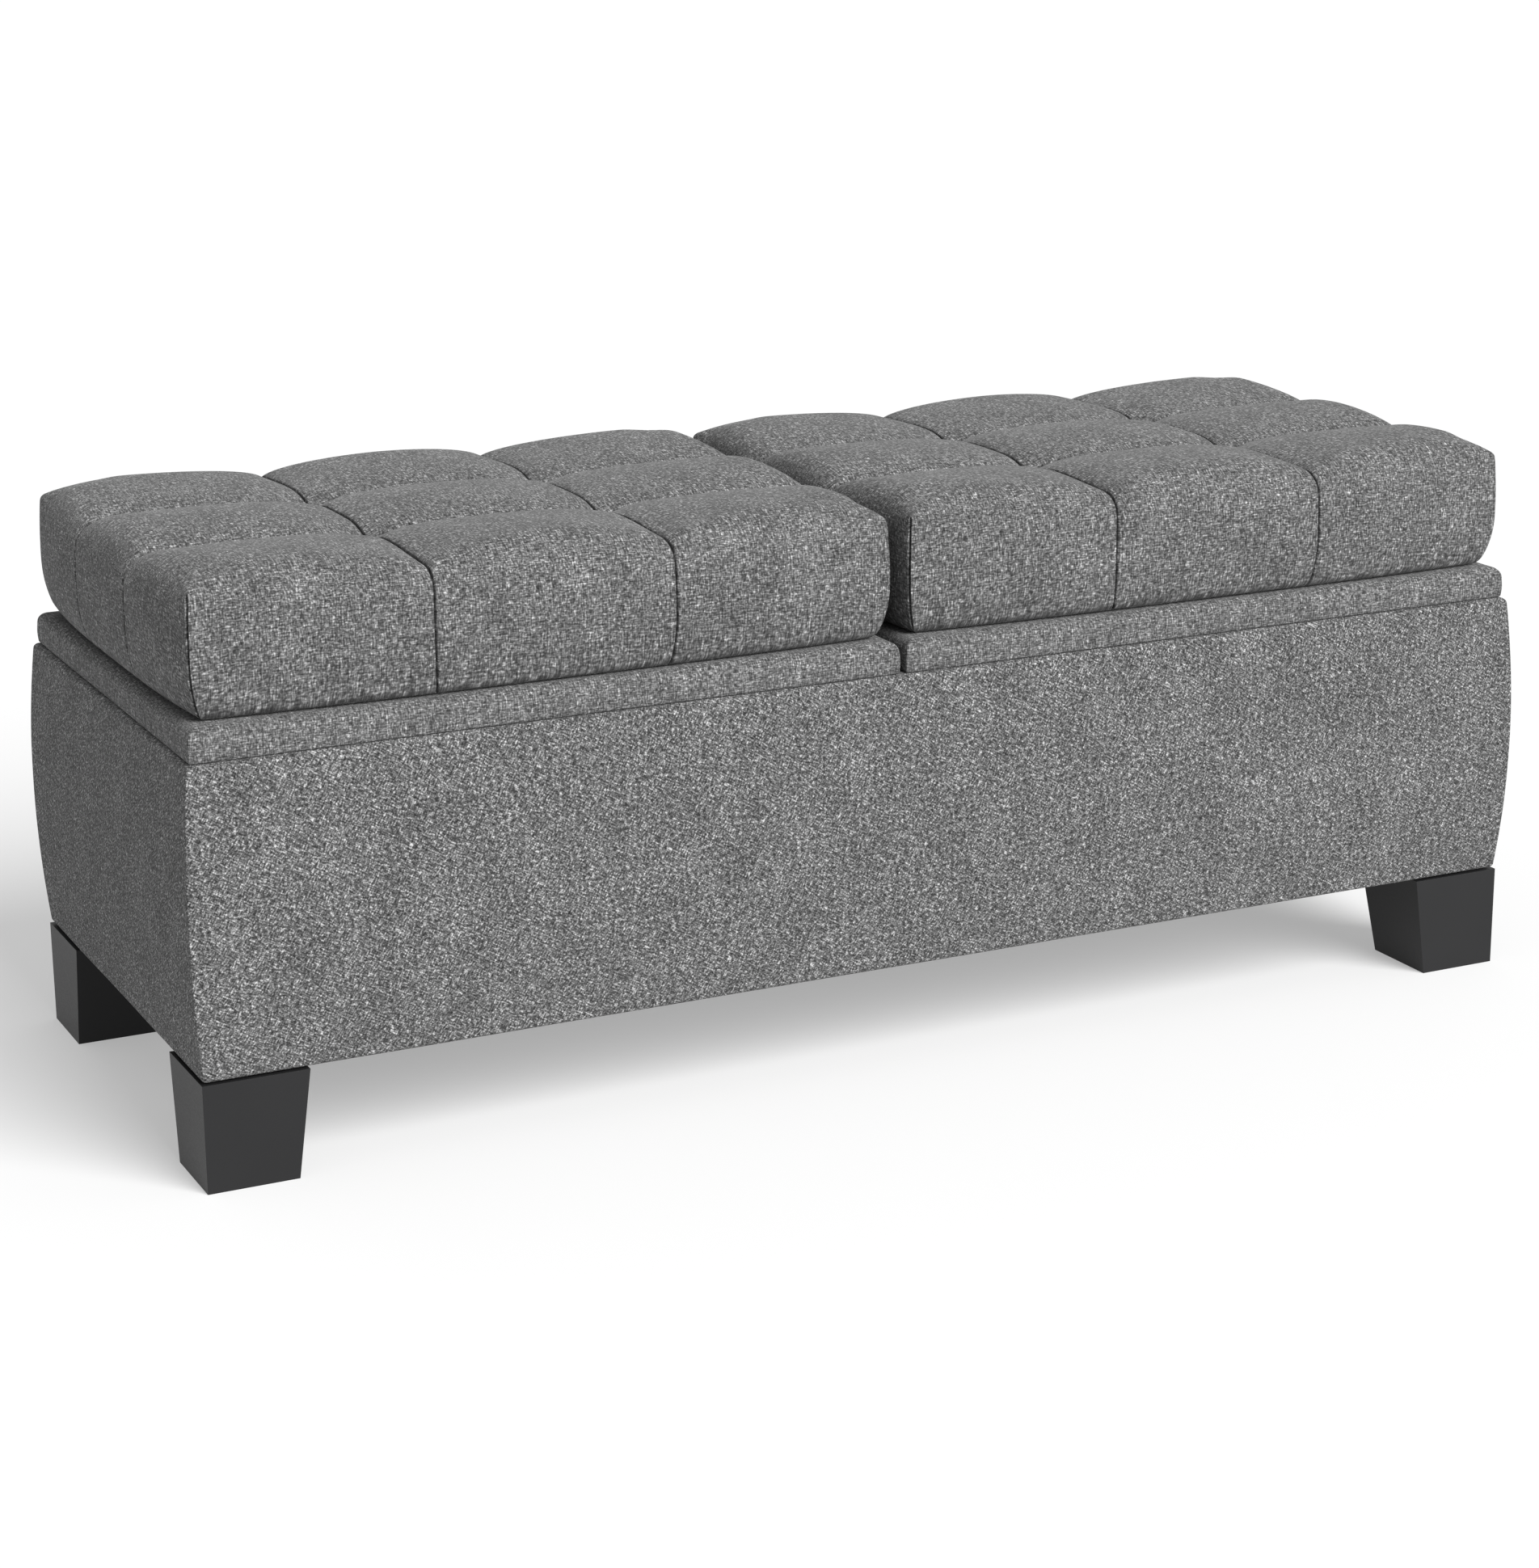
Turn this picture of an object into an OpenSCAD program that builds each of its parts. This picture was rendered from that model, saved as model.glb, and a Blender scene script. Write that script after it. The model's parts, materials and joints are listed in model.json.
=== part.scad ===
// Upholstered storage bench: a padded box on four square feet, split into two
// compartments, each under its own hinged lid with a tufted cushion on it.
// The origin is on the floor under the middle of the bench. +X is the right end,
// -Y the front and +Z up. Each lid turns about its hinge pins, behind the rear edge.

/* [Bench] */
// Length over the bulge of the padded ends
bench_l = 1200; // [1100:10:1300]
// Depth over the bulge of the padded front and rear
bench_d = 450; // [430:5:480]
// Height of the feet
foot_h = 87; // [60:1:110]
// Height from the top of the feet to the lids
box_h = 247; // [235:1:270]

/* [Padding] */
// How far the padded faces bulge past the top edge of the box
bulge = 10; // [6:1:12]
// Thickness of the padding at the top edge of the box
edge_pad = 10; // [8:1:12]

/* [Lids] */
// Height of the padded band round each lid
band_h = 26.6; // [24:0.1:32]
// Gap between the two lids
lid_gap = 6; // [4:0.5:12]
// Height of each cushion
cushion_h = 121; // [90:1:140]
// How far the cushion sides stand in from the band
cushion_inset = 3.5; // [2:0.5:12]
// Depth of the sewn channels in the cushions
channel_d = 14; // [8:1:18]
// Width of the sewn channels in the cushions
channel_w = 8; // [5:0.5:12]

/* [Feet] */
// Width of a foot at its top
foot_top_w = 85; // [70:1:95]
// Width of a foot at the floor
foot_low_w = 73; // [55:1:84]

/* [Hinges and struts] */
// Distance of each hinge from the middle of its lid
hinge_off = 170; // [140:5:180]
// Distance from the hinge line to both pivots of a gas strut
strut_r = 180; // [178:1:184]

/* [Hidden] */
$fn = 48;
board_t = 15; // thickness of the box and lid boards
seam = 0.4; // gap between the box and the closed lids
clear = 0.1; // clearance of a screw in its hole

joint_x = bench_l / 2 - bulge; // half length at the top edge of the box
joint_y = bench_d / 2 - bulge; // half depth at the top edge of the box
board_x = joint_x - edge_pad; // outer faces of the box boards
board_y = joint_y - edge_pad;
inner_x = board_x - board_t; // inner faces of the box boards
inner_y = board_y - board_t;
cover_t = 1; // dust cover and compartment lining
base_z = foot_h + cover_t; // underside of the base board
wall_z = base_z + board_t; // underside of the walls
box_z = foot_h + box_h; // top of the walls
pad_r = 1160; // radius of the bulging faces
pad_top_r = 5;
pad_low_r = 4;
pad_mid = (base_z + box_z) / 2;
pad_half = (box_z - base_z) / 2;
pad_c = [edge_pad + bulge - pad_r, pad_mid]; // centre of the bulging arc

lid_z = box_z + seam; // underside of the lids
lid_board_z = lid_z + cover_t;
band_z = lid_z + band_h; // top of the band, which the cushion stands on
top_z = band_z + cushion_h;
lid_hx = (joint_x - lid_gap / 2) / 2; // half length of a lid
lid_cx = lid_gap / 2 + lid_hx; // middle of a lid
band_side = 9; // padding round the edge of the lid board
band_r = 9; // roll of the band's top edge
lid_board_hx = lid_hx - band_side;
lid_board_hy = joint_y - band_side;

cushion_hx = lid_hx - cushion_inset;
cushion_hy = joint_y - cushion_inset;
cushion_top_r = 30;
cushion_low_r = 14;
skin = 3; // thickness of the cushion cover
seam_x = cushion_hx / 3 + 1.5; // channels from the middle of the cushion
seam_y = cushion_hy / 3 - 1.5;
channel_low = 18; // the side channels stop this far above the band
ply_t = 9; // board in the bottom of the cushion
ply_hx = lid_hx - 38;
ply_hy = joint_y - 38;
cushion_screw_x = ply_hx - 40;
cushion_screw_y = ply_hy - 40;
cushion_screw_l = board_t + 15;
tie_r = 1.5; // tuft ties and the washers that hold them
washer_r = 9;
washer_t = 2;

leaf_t = 1.5; // hinge leaf
leaf_l = 60;
leaf_y = inner_y; // front edge of the leaves
knuckle_r = 4;
knuckle_l = 20;
knuckle_gap = 0.3;
pin_r = 2;
pin_fit = 0.05;
room = 0.6; // room round a knuckle in the padding
axis_y = joint_y + 1;
axis_z = box_z + seam / 2;
screw_y = inner_y + 7;
screw_r = 2;
screw_head_r = 3.8;
screw_head_h = 0.9;
screw_l = 13;
leaf_screw_x = leaf_l / 2 - 10;

strut_x = board_x - 30; // plane of a strut, out from the middle
strut_back = 46; // box pivot, forward of the hinge line
strut_drop = 14; // lid pivot, below the hinge line
low_y = axis_y - strut_back;
low_z = axis_z - sqrt(strut_r * strut_r - strut_back * strut_back);
high_y = axis_y - sqrt(strut_r * strut_r - strut_drop * strut_drop);
high_z = axis_z - strut_drop;
strut_l = norm([high_y - low_y, high_z - low_z]); // closed length
strut_tilt = atan2(low_y - high_y, high_z - low_z);
tube_r = 7.5;
tube_bore = 6.3;
tube_l = 177; // mouth of the tube from the box pivot
tube_floor = 14;
guide_l = 12;
guide_r = 4.2;
rod_r = 4;
rod_reach = 192; // end of the rod from the lid pivot
piston_r = 6.1;
piston_l = 4;
eye_r = 7;
eye_w = 12;
stud_r = 3;
bracket_t = 2;
bracket_screw_z = 15; // screws above and below the box pivot
flange_out = strut_x + 12; // outer face of the lid bracket
flange_in = strut_x - 22;

foot_out = 1.5; // feet stand this far proud of the bottom of the padding
pad_low_out = pad_c[0] + sqrt(pad_r * pad_r - pad_half * pad_half);
foot_x = board_x + pad_low_out + foot_out;
foot_y = board_y + pad_low_out + foot_out;
bolt_x = foot_x - foot_top_w / 2;
bolt_y = foot_y - foot_top_w / 2;
bolt_r = 4;
bolt_low = 42;
nut_r = 11;
nut_t = 1.2;
nut_barrel_r = 5;
glue_block = 12; // legs of the triangular corner blocks
long_screw_r = 2.5;
long_screw_l = 40;
long_head_r = 5;
long_head_h = 2;
screw_heights = [wall_z + 25, box_z - 45];
end_screw_y = board_y / 2;
long_screw_x = [-0.66 * board_x, -0.33 * board_x, 0.33 * board_x, 0.66 * board_x];

SIDES = [-1, 1];
HINGES = [-1, 1];

// ---- helpers ----

// A box from its lowest to its highest corner
module block(low, high) {
    translate(low) cube(high - low);
}

// A cylinder along X, from x0 to x1, about the point (y, z)
module rod_x(r, x0, x1, y, z) {
    translate([x0, y, z]) rotate([0, 90, 0]) cylinder(r = r, h = x1 - x0);
}

// Points of an arc about c
function arc(c, r, from, to, n = 6) =
    [for (i = [0:n]) let (a = from + (to - from) * i / n) c + r * [cos(a), sin(a)]];

// Half of a section with a rounded top and bottom edge, mirrored about the Z axis
function rolled_section(half_w, low, high, low_r, top_r) = concat(
    arc([half_w - low_r, low + low_r], low_r, -90, 0),
    arc([half_w - top_r, high - top_r], top_r, 0, 90),
    arc([top_r - half_w, high - top_r], top_r, 90, 180),
    arc([low_r - half_w, low + low_r], low_r, 180, 270));

// A padded block whose four sides roll over into its top and bottom
module rolled_block(hx, hy, low, high, low_r, top_r) {
    intersection() {
        rotate([90, 0, 0]) linear_extrude(2 * hy, center = true)
            polygon(rolled_section(hx, low, high, low_r, top_r));
        rotate([90, 0, 90]) linear_extrude(2 * hx, center = true)
            polygon(rolled_section(hy, low, high, low_r, top_r));
    }
}

// A screw along +Z whose head's outer face is at the origin
module screw_shape(r, l, head_r, head_h) {
    cylinder(r = r, h = l);
    cylinder(r = head_r, h = head_h);
}

// Places children at both hinges of the lid on one side
module at_hinges(side) {
    for (h = HINGES) translate([side * lid_cx + h * hinge_off, 0, 0]) children();
}

// ---- padded box sides ----

// Centre of an edge roll of radius r that runs smoothly into the bulge
function roll_c(r, side) =
    [pad_c[0] + sqrt(pow(pad_r - r, 2) - pow(pad_half - r, 2)), pad_mid + side * (pad_half - r)];
function roll_a(r) = asin((pad_half - r) / (pad_r - r));

// Section of the padding: outward from the board, and up
function pad_section() = concat(
    [[0, box_z], [0, base_z]],
    arc(roll_c(pad_low_r, -1), pad_low_r, -90, -roll_a(pad_low_r), 4),
    arc(pad_c, pad_r, -roll_a(pad_low_r), roll_a(pad_top_r), 16),
    arc(roll_c(pad_top_r, 1), pad_top_r, roll_a(pad_top_r), 90, 4));

// A padded side that faces +Y, mitred at both ends to meet its neighbours
module padded_side(half_l) {
    reach = edge_pad + bulge + 1;
    intersection() {
        rotate([90, 0, 90]) linear_extrude(2 * (half_l + reach), center = true)
            polygon(pad_section());
        linear_extrude(box_z + 1)
            polygon([[-half_l, -1], [half_l, -1], [half_l, 0], [half_l + reach, reach],
                     [-half_l - reach, reach], [-half_l, 0]]);
    }
}

module front_upholstery() {
    color("darkgray") mirror([0, 1, 0]) translate([0, board_y, 0]) padded_side(board_x);
}

module rear_upholstery() {
    color("darkgray") difference() {
        translate([0, board_y, 0]) padded_side(board_x);
        for (s = SIDES) at_hinges(s) {
            rod_x(knuckle_r + room, -leaf_l / 2 - room, leaf_l / 2 + room, axis_y, axis_z);
            block([-leaf_l / 2, board_y - 1, box_z - leaf_t], [leaf_l / 2, axis_y, box_z + 1]);
        }
    }
}

module end_upholstery(side) {
    color("gray") rotate([0, 0, -side * 90]) translate([0, board_x, 0]) padded_side(board_y);
}

// ---- box boards ----

// Places a screw shape at every joint between the box boards
module at_panel_joints() {
    for (f = SIDES, x = [-1, 0, 1], z = screw_heights)
        translate([x * (board_x - board_t / 2), f * board_y, z]) rotate([f * 90, 0, 0]) children();
    for (f = SIDES, x = long_screw_x)
        translate([x, f * (board_y - board_t / 2), base_z]) children();
    for (e = SIDES, f = SIDES)
        translate([e * (board_x - board_t / 2), f * end_screw_y, base_z]) children();
}

// The room that the long screws need in the boards
module panel_screw_holes() {
    at_panel_joints() {
        translate([0, 0, -1]) cylinder(r = long_screw_r + clear, h = long_screw_l + 2);
        translate([0, 0, -1]) cylinder(r = long_head_r + clear, h = long_head_h + 1);
    }
}

module panel_screws() {
    color("silver") at_panel_joints()
        screw_shape(long_screw_r, long_screw_l, long_head_r, long_head_h);
}

module front_board() {
    color("burlywood") difference() {
        block([-board_x, -board_y, wall_z], [board_x, -inner_y, box_z]);
        panel_screw_holes();
    }
}

module rear_board() {
    color("burlywood") difference() {
        block([-board_x, inner_y, wall_z], [board_x, board_y, box_z]);
        panel_screw_holes();
        for (s = SIDES) at_hinges(s) {
            block([-leaf_l / 2, leaf_y - 1, box_z - leaf_t], [leaf_l / 2, board_y + 1, box_z + 1]);
            at_leaf_screws() rotate([180, 0, 0]) cylinder(r = screw_r + clear, h = screw_l + 1);
        }
    }
}

module end_board(side) {
    color("burlywood") difference() {
        block([side > 0 ? inner_x : -board_x, -inner_y, wall_z],
              [side > 0 ? board_x : -inner_x, inner_y, box_z]);
        panel_screw_holes();
        for (z = SIDES)
            translate([side * (inner_x - 1), low_y, low_z + z * bracket_screw_z])
                rotate([0, side * 90, 0]) cylinder(r = screw_r + clear, h = screw_l);
    }
}

module base_board() {
    color("burlywood") difference() {
        block([-board_x, -board_y, base_z], [board_x, board_y, wall_z]);
        panel_screw_holes();
        for (x = SIDES, y = SIDES) translate([x * bolt_x, y * bolt_y, 0]) {
            translate([0, 0, base_z - 1]) cylinder(r = nut_barrel_r, h = board_t + 2);
            translate([0, 0, wall_z - nut_t]) cylinder(r = nut_r, h = nut_t + 1);
        }
    }
}

module centre_divider() {
    color("burlywood") difference() {
        block([-board_t / 2, -inner_y, wall_z], [board_t / 2, inner_y, box_z]);
        panel_screw_holes();
    }
}

// Plan of one corner block, with its right angle at the origin
module glue_block_plan() {
    polygon([[0, 0], [glue_block, 0], [0, glue_block]]);
}

module corner_blocks() {
    color("tan") for (s = SIDES, y = SIDES)
        translate([0, 0, wall_z]) linear_extrude(box_z - wall_z - 30) {
            translate([s * inner_x, y * inner_y]) scale_sign(-s, -y) glue_block_plan();
            translate([s * board_t / 2, y * inner_y]) scale_sign(s, -y) glue_block_plan();
        }
}

// Mirrors a plan so that it points to the side of each sign
module scale_sign(sx, sy) {
    mirror([sx < 0 ? 1 : 0, 0]) mirror([0, sy < 0 ? 1 : 0]) children();
}

// Plan of a compartment between x0 and x1, cut back by t and clear of its corner blocks
module compartment_plan(x0, x1, t) {
    c = glue_block + t * (sqrt(2) - 1) + 0.2;
    polygon([[x0 + t + c, t - inner_y], [x1 - t - c, t - inner_y], [x1 - t, t + c - inner_y],
             [x1 - t, inner_y - t - c], [x1 - t - c, inner_y - t], [x0 + t + c, inner_y - t],
             [x0 + t, inner_y - t - c], [x0 + t, t + c - inner_y]]);
}

module compartment_lining(side) {
    x0 = side > 0 ? board_t / 2 : -inner_x;
    x1 = side > 0 ? inner_x : -board_t / 2;
    color("dimgray") difference() {
        translate([0, 0, wall_z]) linear_extrude(box_z - wall_z - leaf_t) compartment_plan(x0, x1, 0);
        translate([0, 0, wall_z + cover_t]) linear_extrude(box_h) compartment_plan(x0, x1, cover_t);
        for (z = SIDES) rod_x(screw_r + clear, side * inner_x - 2, side * inner_x + 2,
                              low_y, low_z + z * bracket_screw_z);
    }
}

module dust_cover() {
    color("black") difference() {
        block([5 - board_x, 5 - board_y, foot_h], [board_x - 5, board_y - 5, base_z]);
        for (x = SIDES, y = SIDES) translate([x * bolt_x, y * bolt_y, foot_h - 1])
            cylinder(r = nut_barrel_r, h = cover_t + 2);
    }
}

// ---- feet ----

// A foot in the corner to the side of each sign: outer faces upright, inner faces tapered
module foot(sx, sy) {
    color([0.16, 0.16, 0.17]) translate([sx * foot_x, sy * foot_y, 0])
        mirror([sx > 0 ? 1 : 0, 0, 0]) mirror([0, sy > 0 ? 1 : 0, 0]) difference() {
            intersection() {
                rotate([90, 0, 0]) linear_extrude(3 * foot_top_w, center = true) foot_section();
                rotate([90, 0, 90]) linear_extrude(3 * foot_top_w, center = true) foot_section();
            }
            translate([foot_top_w / 2, foot_top_w / 2, bolt_low])
                cylinder(r = bolt_r, h = foot_h);
        }
}

module foot_section() {
    polygon([[0, 0], [foot_low_w, 0], [foot_top_w, foot_h], [0, foot_h]]);
}

module foot_bolts() {
    color("silver") for (x = SIDES, y = SIDES) translate([x * bolt_x, y * bolt_y, bolt_low])
        cylinder(r = bolt_r, h = wall_z - 1 - bolt_low);
}

module foot_t_nuts() {
    color("silver") for (x = SIDES, y = SIDES) translate([x * bolt_x, y * bolt_y, 0])
        difference() {
            union() {
                translate([0, 0, base_z + 2]) cylinder(r = nut_barrel_r, h = board_t - 2);
                translate([0, 0, wall_z - nut_t]) cylinder(r = nut_r, h = nut_t);
            }
            translate([0, 0, base_z]) cylinder(r = bolt_r, h = board_t + 1);
        }
}

// ---- hinges ----

module at_leaf_screws() {
    for (i = SIDES) translate([i * leaf_screw_x, screw_y, box_z]) children();
}

// One leaf lying along the hinge line, drawn at the middle of its hinge.
// The box leaf is under the hinge line with the end knuckles, the lid leaf over it.
module leaf(under) {
    z0 = under ? box_z - leaf_t : lid_z;
    z1 = under ? box_z : lid_z + leaf_t;
    spans = under ? [[-leaf_l / 2, -knuckle_l / 2 - knuckle_gap],
                     [knuckle_l / 2 + knuckle_gap, leaf_l / 2]]
                  : [[-knuckle_l / 2, knuckle_l / 2]];
    bore = under ? pin_r : pin_r + pin_fit;
    color("silver") difference() {
        union() {
            block([-leaf_l / 2, leaf_y, z0], [leaf_l / 2, axis_y - knuckle_r - 0.4, z1]);
            for (s = spans) {
                block([s[0], leaf_y + 1, z0], [s[1], axis_y - pin_r - 0.7, z1]);
                rod_x(knuckle_r, s[0], s[1], axis_y, axis_z);
            }
        }
        rod_x(bore, -leaf_l, leaf_l, axis_y, axis_z);
        for (i = SIDES) translate([i * leaf_screw_x, screw_y, 0]) {
            translate([0, 0, z0 - 1]) cylinder(r = screw_r + clear, h = leaf_t + 2);
            translate([0, 0, under ? box_z - screw_head_h : lid_z - 1])
                cylinder(r = screw_head_r + clear, h = screw_head_h + 1);
        }
    }
}

module hinge_leaf(side, outer, under) {
    translate([side * (lid_cx + outer * hinge_off), 0, 0]) leaf(under);
}

module hinge_pins(side) {
    color("gray") at_hinges(side) rod_x(pin_r, -leaf_l / 2, leaf_l / 2, axis_y, axis_z);
}

// ---- gas struts ----

// Stud of a strut bracket, from the bracket's plate towards the middle of the bench
module strut_stud(side, from_x, y, z) {
    end_x = strut_x - eye_w / 2 - 0.3;
    head_x = end_x - 2;
    rod_x(stud_r, side > 0 ? head_x : -from_x, side > 0 ? from_x : -head_x, y, z);
    rod_x(stud_r + 2, side > 0 ? head_x : -end_x, side > 0 ? end_x : -head_x, y, z);
}

module strut_box_bracket(side) {
    back = inner_x - cover_t;
    front = back - bracket_t;
    color("dimgray") {
        difference() {
            block([side > 0 ? front : -back, low_y - 6, low_z - 20],
                  [side > 0 ? back : -front, low_y + 6, low_z + 20]);
            for (z = SIDES) {
                rod_x(screw_r + clear, side * front - 3, side * front + 3,
                      low_y, low_z + z * bracket_screw_z);
                rod_x(screw_head_r + clear, side > 0 ? front - 1 : -front - screw_head_h,
                      side > 0 ? front + screw_head_h : 1 - front,
                      low_y, low_z + z * bracket_screw_z);
            }
        }
        strut_stud(side, front + 1, low_y, low_z);
    }
}

module at_flange_screws(side) {
    for (i = SIDES) translate([side * (strut_x - 5), high_y + i * 16, lid_z - bracket_t]) children();
}

module strut_lid_bracket(side) {
    color("dimgray") {
        difference() {
            block([side > 0 ? flange_in : -flange_out, high_y - 22, lid_z - bracket_t],
                  [side > 0 ? flange_out : -flange_in, high_y + 22, lid_z]);
            at_flange_screws(side) {
                translate([0, 0, -1]) cylinder(r = screw_r + clear, h = bracket_t + 2);
                translate([0, 0, -1]) cylinder(r = screw_head_r + clear, h = screw_head_h + 1);
            }
        }
        block([side > 0 ? flange_out - bracket_t : -flange_out, high_y - 8, high_z - 7],
              [side > 0 ? flange_out : bracket_t - flange_out, high_y + 8, lid_z]);
        strut_stud(side, flange_out - 1, high_y, high_z);
    }
}

// Draws along the strut: +Z runs from the box pivot to the lid pivot
module along_strut(side) {
    translate([side * strut_x, low_y, low_z]) rotate([strut_tilt, 0, 0]) children();
}

module strut_eye() {
    rotate([0, 90, 0]) cylinder(r = eye_r, h = eye_w, center = true);
}

module strut_eye_bore() {
    rotate([0, 90, 0]) cylinder(r = stud_r + pin_fit, h = eye_w + 2, center = true);
}

module strut_tube(side) {
    color("black") along_strut(side) difference() {
        union() {
            strut_eye();
            translate([0, 0, 5]) cylinder(r = tube_r, h = tube_l - 5);
        }
        strut_eye_bore();
        translate([0, 0, tube_floor]) cylinder(r = tube_bore, h = tube_l - guide_l - tube_floor);
        translate([0, 0, tube_floor]) cylinder(r = guide_r, h = tube_l);
    }
}

module strut_rod(side) {
    color("silver") along_strut(side) translate([0, 0, strut_l]) difference() {
        union() {
            strut_eye();
            translate([0, 0, -rod_reach]) cylinder(r = rod_r, h = rod_reach - 5);
            translate([0, 0, -rod_reach]) cylinder(r = piston_r, h = piston_l);
        }
        strut_eye_bore();
    }
}

module box_hardware_screws() {
    color("silver") {
        for (s = SIDES) at_hinges(s) at_leaf_screws() rotate([180, 0, 0])
            screw_shape(screw_r, screw_l, screw_head_r, screw_head_h);
        for (s = SIDES, z = SIDES)
            translate([s * (inner_x - cover_t - bracket_t), low_y, low_z + z * bracket_screw_z])
                rotate([0, s * 90, 0]) screw_shape(screw_r, screw_l, screw_head_r, screw_head_h);
    }
}

// ---- lids, drawn about the middle of the lid and moved out by at_lid ----

module at_lid(side) {
    translate([side * lid_cx, 0, 0]) children();
}

module at_cushion_screws() {
    for (x = SIDES, y = SIDES)
        translate([x * cushion_screw_x, y * cushion_screw_y, lid_board_z]) children();
}

// The rods that the lid hardware's screws pass through, without their heads
module lid_screw_holes(side) {
    for (h = HINGES, i = SIDES)
        translate([side * lid_cx + h * hinge_off + i * leaf_screw_x, screw_y, lid_z])
            cylinder(r = screw_r + clear, h = screw_l + 1);
    at_flange_screws(side) cylinder(r = screw_r + clear, h = screw_l + 1);
}

module lid_board(side) {
    color("burlywood") difference() {
        at_lid(side) block([-lid_board_hx, -lid_board_hy, lid_board_z],
                           [lid_board_hx, lid_board_hy, lid_board_z + board_t]);
        at_hinges(side) block([-leaf_l / 2, leaf_y - 0.5, lid_z],
                              [leaf_l / 2, lid_board_hy + 1, lid_z + leaf_t]);
        lid_screw_holes(side);
        at_lid(side) at_cushion_screws() {
            translate([0, 0, -1]) cylinder(r = screw_r + clear, h = board_t + 2);
            translate([0, 0, -1]) cylinder(r = screw_head_r + clear, h = 2 * screw_head_h + 1);
        }
    }
}

module lid_band(side) {
    color("darkgray") difference() {
        at_lid(side) rolled_block(lid_hx, joint_y, lid_z, band_z, 2, band_r);
        at_lid(side) block([-lid_board_hx, -lid_board_hy, lid_z - 1],
                           [lid_board_hx, lid_board_hy, lid_board_z + board_t]);
        at_hinges(side) {
            rod_x(knuckle_r + room, -leaf_l / 2 - room, leaf_l / 2 + room, axis_y, axis_z);
            block([-leaf_l / 2, lid_board_hy - 1, lid_z - 1], [leaf_l / 2, axis_y, lid_z + leaf_t]);
        }
        at_lid(side) at_cushion_screws() cylinder(r = screw_r + clear, h = 2 * board_t);
    }
}

module lid_liner(side) {
    color("dimgray") difference() {
        at_lid(side) block([5 - lid_board_hx, 5 - lid_board_hy, lid_z],
                           [lid_board_hx - 5, leaf_y - 2, lid_board_z]);
        lid_screw_holes(side);
    }
}

module lid_screws(side) {
    color("silver") {
        at_hinges(side) for (i = SIDES) translate([i * leaf_screw_x, screw_y, lid_z])
            screw_shape(screw_r, screw_l, screw_head_r, screw_head_h);
        at_flange_screws(side) screw_shape(screw_r, screw_l, screw_head_r, screw_head_h);
    }
}

module cushion_screws(side) {
    color("silver") at_lid(side) at_cushion_screws() translate([0, 0, screw_head_h])
        screw_shape(screw_r, cushion_screw_l, screw_head_r, screw_head_h);
}

module cushion_base(side) {
    color("burlywood") at_lid(side) difference() {
        block([-ply_hx, -ply_hy, band_z], [ply_hx, ply_hy, band_z + ply_t]);
        at_cushion_screws() cylinder(r = screw_r + clear, h = 3 * board_t);
        for (x = SIDES, y = SIDES) translate([x * seam_x, y * seam_y, band_z - 1]) {
            cylinder(r = tie_r + clear, h = ply_t + 2);
            cylinder(r = washer_r + clear, h = washer_t + 1);
        }
    }
}

// The cushion, cut back by t all round
module cushion_block(t) {
    rolled_block(cushion_hx - t, cushion_hy - t, band_z + t, top_z - t,
                 max(cushion_low_r - t, 1), cushion_top_r - t);
}

// The cushion with its sewn channels, cut back by t all round
module cushion_form(t) {
    w = channel_w / 2 + t;
    low = band_z + channel_low - t;
    difference() {
        cushion_block(t);
        difference() {
            for (i = SIDES) {
                block([i * seam_x - w, -joint_y, low], [i * seam_x + w, joint_y, top_z + 1]);
                block([-lid_hx, i * seam_y - w, low], [lid_hx, i * seam_y + w, top_z + 1]);
            }
            rolled_block(cushion_hx - channel_d - t, cushion_hy - channel_d - t, band_z - 1,
                         top_z - channel_d - t, 1, cushion_top_r - channel_d - t);
        }
    }
}

module cushion_cover(side) {
    color("darkgray") at_lid(side) difference() {
        cushion_form(0);
        cushion_form(skin);
        block([-ply_hx, -ply_hy, band_z - 1], [ply_hx, ply_hy, band_z + skin + 1]);
    }
}

module cushion_foam(side) {
    color("khaki") at_lid(side) difference() {
        cushion_form(skin);
        block([-ply_hx, -ply_hy, band_z], [ply_hx, ply_hy, band_z + ply_t]);
        for (x = SIDES, y = SIDES) translate([x * seam_x, y * seam_y, band_z])
            cylinder(r = tie_r + clear, h = cushion_h);
        at_cushion_screws() cylinder(r = screw_r + clear, h = cushion_screw_l + 2);
    }
}

module tuft_ties(side) {
    color("ivory") at_lid(side) for (x = SIDES, y = SIDES)
        translate([x * seam_x, y * seam_y, band_z]) {
            cylinder(r = tie_r, h = cushion_h - channel_d - skin);
            cylinder(r = washer_r, h = washer_t);
        }
}

front_board();
rear_board();
end_board(-1);  // left_end_board
end_board(1);  // right_end_board
base_board();
centre_divider();
corner_blocks();
panel_screws();
front_upholstery();
rear_upholstery();
end_upholstery(-1);  // left_end_upholstery
end_upholstery(1);  // right_end_upholstery
compartment_lining(-1);  // left_compartment_lining
compartment_lining(1);  // right_compartment_lining
dust_cover();
foot(-1, -1);  // front_left_foot
foot(1, -1);  // front_right_foot
foot(-1, 1);  // rear_left_foot
foot(1, 1);  // rear_right_foot
foot_bolts();
foot_t_nuts();
hinge_leaf(-1, 1, true);  // left_outer_hinge_box_leaf
hinge_leaf(-1, -1, true);  // left_inner_hinge_box_leaf
hinge_leaf(1, -1, true);  // right_inner_hinge_box_leaf
hinge_leaf(1, 1, true);  // right_outer_hinge_box_leaf
hinge_pins(-1);  // left_hinge_pins
hinge_pins(1);  // right_hinge_pins
box_hardware_screws();
strut_box_bracket(-1);  // left_strut_box_bracket
strut_box_bracket(1);  // right_strut_box_bracket
lid_board(-1);  // left_lid_board
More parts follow.
